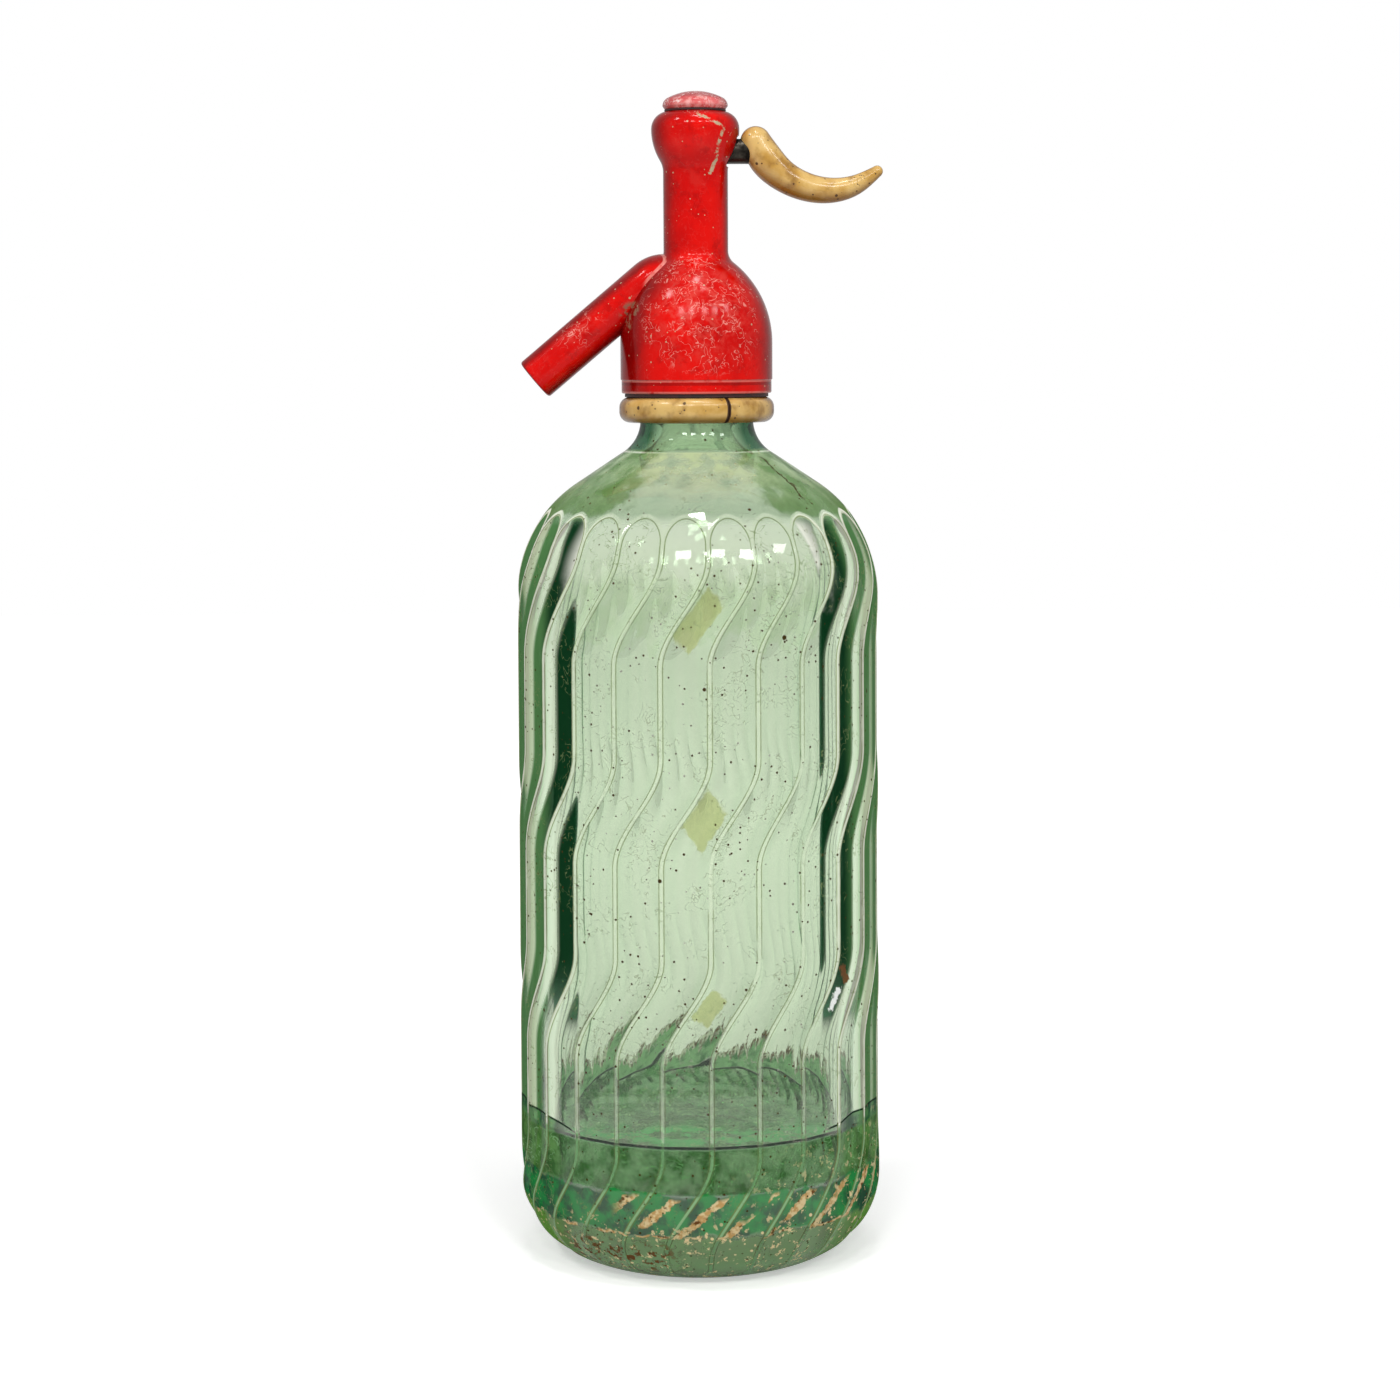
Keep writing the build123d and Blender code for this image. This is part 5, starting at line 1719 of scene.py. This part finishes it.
@dataclass
class Grip:
    """Horn-shaped moulded grip of the lever."""

    stations: tuple = (
        (16.0, 299.8, 4.1),
        (18.7, 295.3, 4.6),
        (22.7, 291.3, 4.25),
        (28.0, 288.4, 3.85),
        (35.0, 287.0, 3.4),
        (42.0, 288.2, 2.7),
        (48.2, 291.9, 1.55),
    )
    columns: int = 72
    steps: int = 120
    end_steps: int = 14

    def spline(self) -> np.ndarray:
        """Points and radii along a natural cubic spline through the stations, by chord length.

        The second derivatives m solve h0 m0 + 2 (h0 + h1) m1 + h1 m2 = 6 (d1 - d0) with none at the ends.
        """
        stations = np.array(self.stations)
        chord = np.concatenate([[0], np.cumsum(np.linalg.norm(np.diff(stations[:, :2], axis=0), axis=1))])
        gap = np.diff(chord)
        rate = np.diff(stations, axis=0) / gap[:, None]
        count = len(stations)
        matrix = np.eye(count)
        right = np.zeros_like(stations)
        inner = np.arange(1, count - 1)
        matrix[inner, inner - 1] = gap[:-1]
        matrix[inner, inner] = 2 * (gap[:-1] + gap[1:])
        matrix[inner, inner + 1] = gap[1:]
        right[1:-1] = 6 * (rate[1:] - rate[:-1])
        bend = np.linalg.solve(matrix, right)
        place = np.linspace(0, chord[-1], self.steps + 1)
        at = np.clip(np.searchsorted(chord, place, side="right") - 1, 0, count - 2)
        low, high, width = place - chord[at], chord[at + 1] - place, gap[at]
        return (
            bend[at] * (high**3 / (6 * width))[:, None]
            + bend[at + 1] * (low**3 / (6 * width))[:, None]
            + (stations[at] / width[:, None] - bend[at] * width[:, None] / 6) * high[:, None]
            + (stations[at + 1] / width[:, None] - bend[at + 1] * width[:, None] / 6) * low[:, None]
        )

    def build(self, material: Material) -> Piece:
        """Builds the grip: circles square to the spline, and a round end at both ends.

        Each ring is center + radius * (cos(a) * Y + sin(a) * N). A round end has rings at radius * sin(b) set
        back by radius * cos(b) along the path.
        """
        track = self.spline()
        path = np.stack([track[:, 0], np.zeros(len(track)), track[:, 1]], axis=1)
        ahead = np.gradient(path, axis=0)
        ahead /= np.linalg.norm(ahead, axis=1, keepdims=True)
        radius = track[:, 2]
        swing = np.linspace(0, np.pi / 2, self.end_steps + 1)[1:-1, None]
        first = path[0] - ahead[0] * radius[0] * np.cos(swing)
        last = path[-1] + ahead[-1] * radius[-1] * np.cos(swing[::-1])
        centers = np.concatenate([first, path, last])
        count = self.end_steps - 1
        facing = np.concatenate([np.repeat(ahead[:1], count, 0), ahead, np.repeat(ahead[-1:], count, 0)])
        swing = swing[:, 0]
        sizes = np.concatenate([radius[0] * np.sin(swing), radius, radius[-1] * np.sin(swing[::-1])])
        across = np.array([0, 1.0, 0])
        up = np.cross(facing, across)
        turn = np.linspace(0, 2 * np.pi, self.columns, endpoint=False)
        rings = centers[:, None] + sizes[:, None, None] * (
            np.cos(turn)[None, :, None] * across + np.sin(turn)[None, :, None] * up[:, None]
        )
        draft = Draft()
        rows = draft.add(rings)
        draft.skin(rows[:, ::-1])
        poles = draft.add(np.stack([path[0] - ahead[0] * radius[0], path[-1] + ahead[-1] * radius[-1]]))
        draft.fan(rows[0], int(poles[0]))
        draft.fan(rows[-1, ::-1], int(poles[1]))
        piece = draft.build("grip", material)
        mount(piece, Body.LEVER, "cream_plastic", "lever_grip")
        return piece


# ---------------------------------------------------------------- studio


@dataclass(frozen=True)
class Studio:
    """Pale floor, white surroundings, soft lamps and the camera."""

    camera_place: tuple[float, float, float] = (0.00048, -0.807, 0.245)
    camera_tilt: float = 83.35
    camera_roll: float = -0.3
    lens: float = 77.142857
    floor_size: float = 4.0
    near_glow: float = 0.46
    far_glow: float = 0.85
    fill_from: float = 90.0
    fill_to: float = 700.0
    world_light: float = 0.3
    world_gloss: float = 0.38
    world_mirror: float = 0.7
    floor_colour: str = "#E6E6E6"
    aim_height: float = 0.16
    lamp_distance: float = 1.5
    lamp_size: float = 0.18
    lamps: tuple = (
        (-26, 38, 3.0),
        (-8, 39, 2.8),
        (15, 39, 2.8),
        (34, 38, 2.4),
        (56, 38, 1.8),
        (2, 76, 3.6),
        (22, 65, 1.8),
        (-64, 52, 3.4),
    )

    def camera(self) -> None:
        """Sets up the camera: it looks a little down on the object."""
        data = bpy.data.cameras.new("camera")
        data.lens = self.lens
        data.sensor_width = 36.0
        data.clip_start = 0.01
        camera = bpy.data.objects.new("camera", data)
        tilt = Matrix.Rotation(math.radians(self.camera_tilt), 4, "X")
        roll = Matrix.Rotation(math.radians(self.camera_roll), 4, "Z")
        camera.matrix_world = Matrix.Translation(self.camera_place) @ tilt @ roll
        bpy.context.scene.collection.objects.link(camera)
        bpy.context.scene.camera = camera

    def world(self) -> None:
        """White for the camera and through glass, greyer in reflections, and a softer light on the object."""
        world = bpy.data.worlds.new("studio")
        world.use_nodes = True
        bpy.context.scene.world = world
        tree = world.node_tree
        tree.nodes.clear()
        path = add_node(tree, "ShaderNodeLightPath").node
        seen = path.outputs[0]
        # Rays through glass see the whole world; mirrored and glossy ones see a share of it.
        for ray, share in ((6, 1.0), (4, self.world_mirror), (3, self.world_gloss)):
            part = add_node(tree, "ShaderNodeMath", {0: path.outputs[ray], 1: share}, operation="MULTIPLY")
            seen = add_node(tree, "ShaderNodeMath", {0: seen, 1: part}, operation="MAXIMUM")
        limits = {0: seen, 1: 0.0, 2: 1.0, 3: self.world_light, 4: 1.0}
        strength = add_node(tree, "ShaderNodeMapRange", limits)
        background = add_node(tree, "ShaderNodeBackground", {0: (1, 1, 1, 1), 1: strength})
        add_node(tree, "ShaderNodeOutputWorld", {0: background})

    def floor(self) -> None:
        """Pale floor: its own glow lifts it to white in every view, and the object's shadow stays."""
        surface = Surface("pale_floor")
        path = surface.node("ShaderNodeLightPath").node
        gloss = surface.times(path.outputs[3], self.world_gloss)
        seen = surface.either(path.outputs[0], gloss, path.outputs[6])
        matt = surface.node("ShaderNodeBsdfDiffuse", {0: linear(self.floor_colour)})
        away = surface.node("ShaderNodeVectorMath", {0: surface.place}, output=1, operation="LENGTH")
        reach = {0: away, 1: self.fill_from, 2: self.fill_to, 3: self.near_glow, 4: self.far_glow}
        fill = surface.node("ShaderNodeMapRange", reach)
        glow = surface.node("ShaderNodeEmission", {0: (1, 1, 1, 1), 1: surface.times(seen, fill)})
        material = surface.end(surface.node("ShaderNodeAddShader", {0: matt, 1: glow}))
        draft = Draft()
        half = self.floor_size / 2 / MM
        ring = draft.add(half * np.array([[-1.0, -1, 0], [1, -1, 0], [1, 1, 0], [-1, 1, 0]]))
        draft.lid(ring)
        draft.build("floor", material)

    def lamp(self, name: str, azimuth: float, elevation: float, power: float) -> None:
        """Adds one soft square lamp that looks at the middle of the object.

        Args:
            name: name of the lamp.
            azimuth: degrees from the front, positive to the right.
            elevation: degrees above the level.
            power: in watts.
        """
        data = bpy.data.lights.new(name, "AREA")
        data.shape = "SQUARE"
        data.size = self.lamp_size
        data.energy = power
        lamp = bpy.data.objects.new(name, data)
        turn, rise = math.radians(azimuth), math.radians(elevation)
        back = Vector((math.sin(turn) * math.cos(rise), -math.cos(turn) * math.cos(rise), math.sin(rise)))
        lamp.rotation_mode = "QUATERNION"
        lamp.rotation_quaternion = back.to_track_quat("Z", "Y")
        lamp.location = Vector((0, 0, self.aim_height)) + back * self.lamp_distance
        bpy.context.scene.collection.objects.link(lamp)

    def build(self) -> None:
        """Sets up the whole studio."""
        self.camera()
        self.world()
        self.floor()
        for number, (azimuth, elevation, power) in enumerate(self.lamps, 1):
            self.lamp(f"softbox_{number}", azimuth, elevation, power)
        bpy.context.scene.view_settings.view_transform = "Standard"


# ---------------------------------------------------------------- putting it together


def dress_cad_nodes(nodes: dict[str, Piece]) -> None:
    """Gives the CAD nodes that stay in view their finishes."""
    steel = Metal("blackened_steel", "#3E3A34", "#1C1A17", 0.3).material()
    brass = Metal("turned_brass", "#C9A24E", "#7A5E2C", 0.28).material()
    spring = Metal("coiled_spring_steel", "#A7A9AB", "#6F6A62", 0.3).material()
    rubber = Soft("black_rubber", "#2A2624", "#3B3531").material()
    fibre = Soft("vulcanised_fibre", "#3A1512", "#1E0C0B", 0.6).material()
    leather = Soft("greased_leather", "#6B4526", "#4A2E18", 0.7, 1.2).material()
    clear = ThinGlass().material()
    finishes = {
        "siphon_tube": clear,
        "tube_sleeve": rubber,
        "neck_gasket": rubber,
        "collar_washer": fibre,
        "valve_seat": brass,
        "valve_stem": brass,
        "valve_washer": rubber,
        "washer_screw": brass,
        "stem_collar": brass,
        "valve_spring": spring,
        "gland_packing": leather,
        "gland_nut": brass,
        "cap_washer": fibre,
        "lever_arm": steel,
        "lever_pin": steel,
    }
    for name, material in finishes.items():
        nodes[name].data.materials.clear()
        nodes[name].data.materials.append(material)
        log.info("%s keeps its CAD mesh as %s", name, material.name)


def main() -> None:
    """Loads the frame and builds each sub-assembly."""
    logging.basicConfig(level=logging.INFO, format="%(message)s")
    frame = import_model()
    dress_cad_nodes(frame["nodes"])
    bottle = Bottle()
    bottle.glass(PressedGlass())
    bottle.water(StaleWater())
    enamel = Enamel().material()
    head = Head()
    head.casting(enamel)
    head.spout(enamel)
    # The cap's enamel is faded and worn, and its paler top with near-white streaks is also a painted sheen
    # from above.
    faded = Enamel(
        name="worn_and_sheened_pink_enamel",
        base="#D45656",
        bright="#E47474",
        dark="#B84044",
        side="#942A30",
        rubbed="#FAC8C0",
        line="#FFF4F0",
        primer="#F0DCCC",
        fade=1.8,
        worn_everywhere=0.6,
        proud=((0.0, -2.0, 317.0, 9.0),),
        soiled_and_shaded_places=(),
    )
    head.cap(faded.material())
    cream = AgedPlastic().material()
    collar = Collar()
    collar.half("collar_front", "collar_half_front", collar.split - 180, cream)
    collar.half("collar_back", "collar_half_back", collar.split, cream)
    Grip().build(cream)
    Studio().build()


if __name__ == "__main__":
    main()
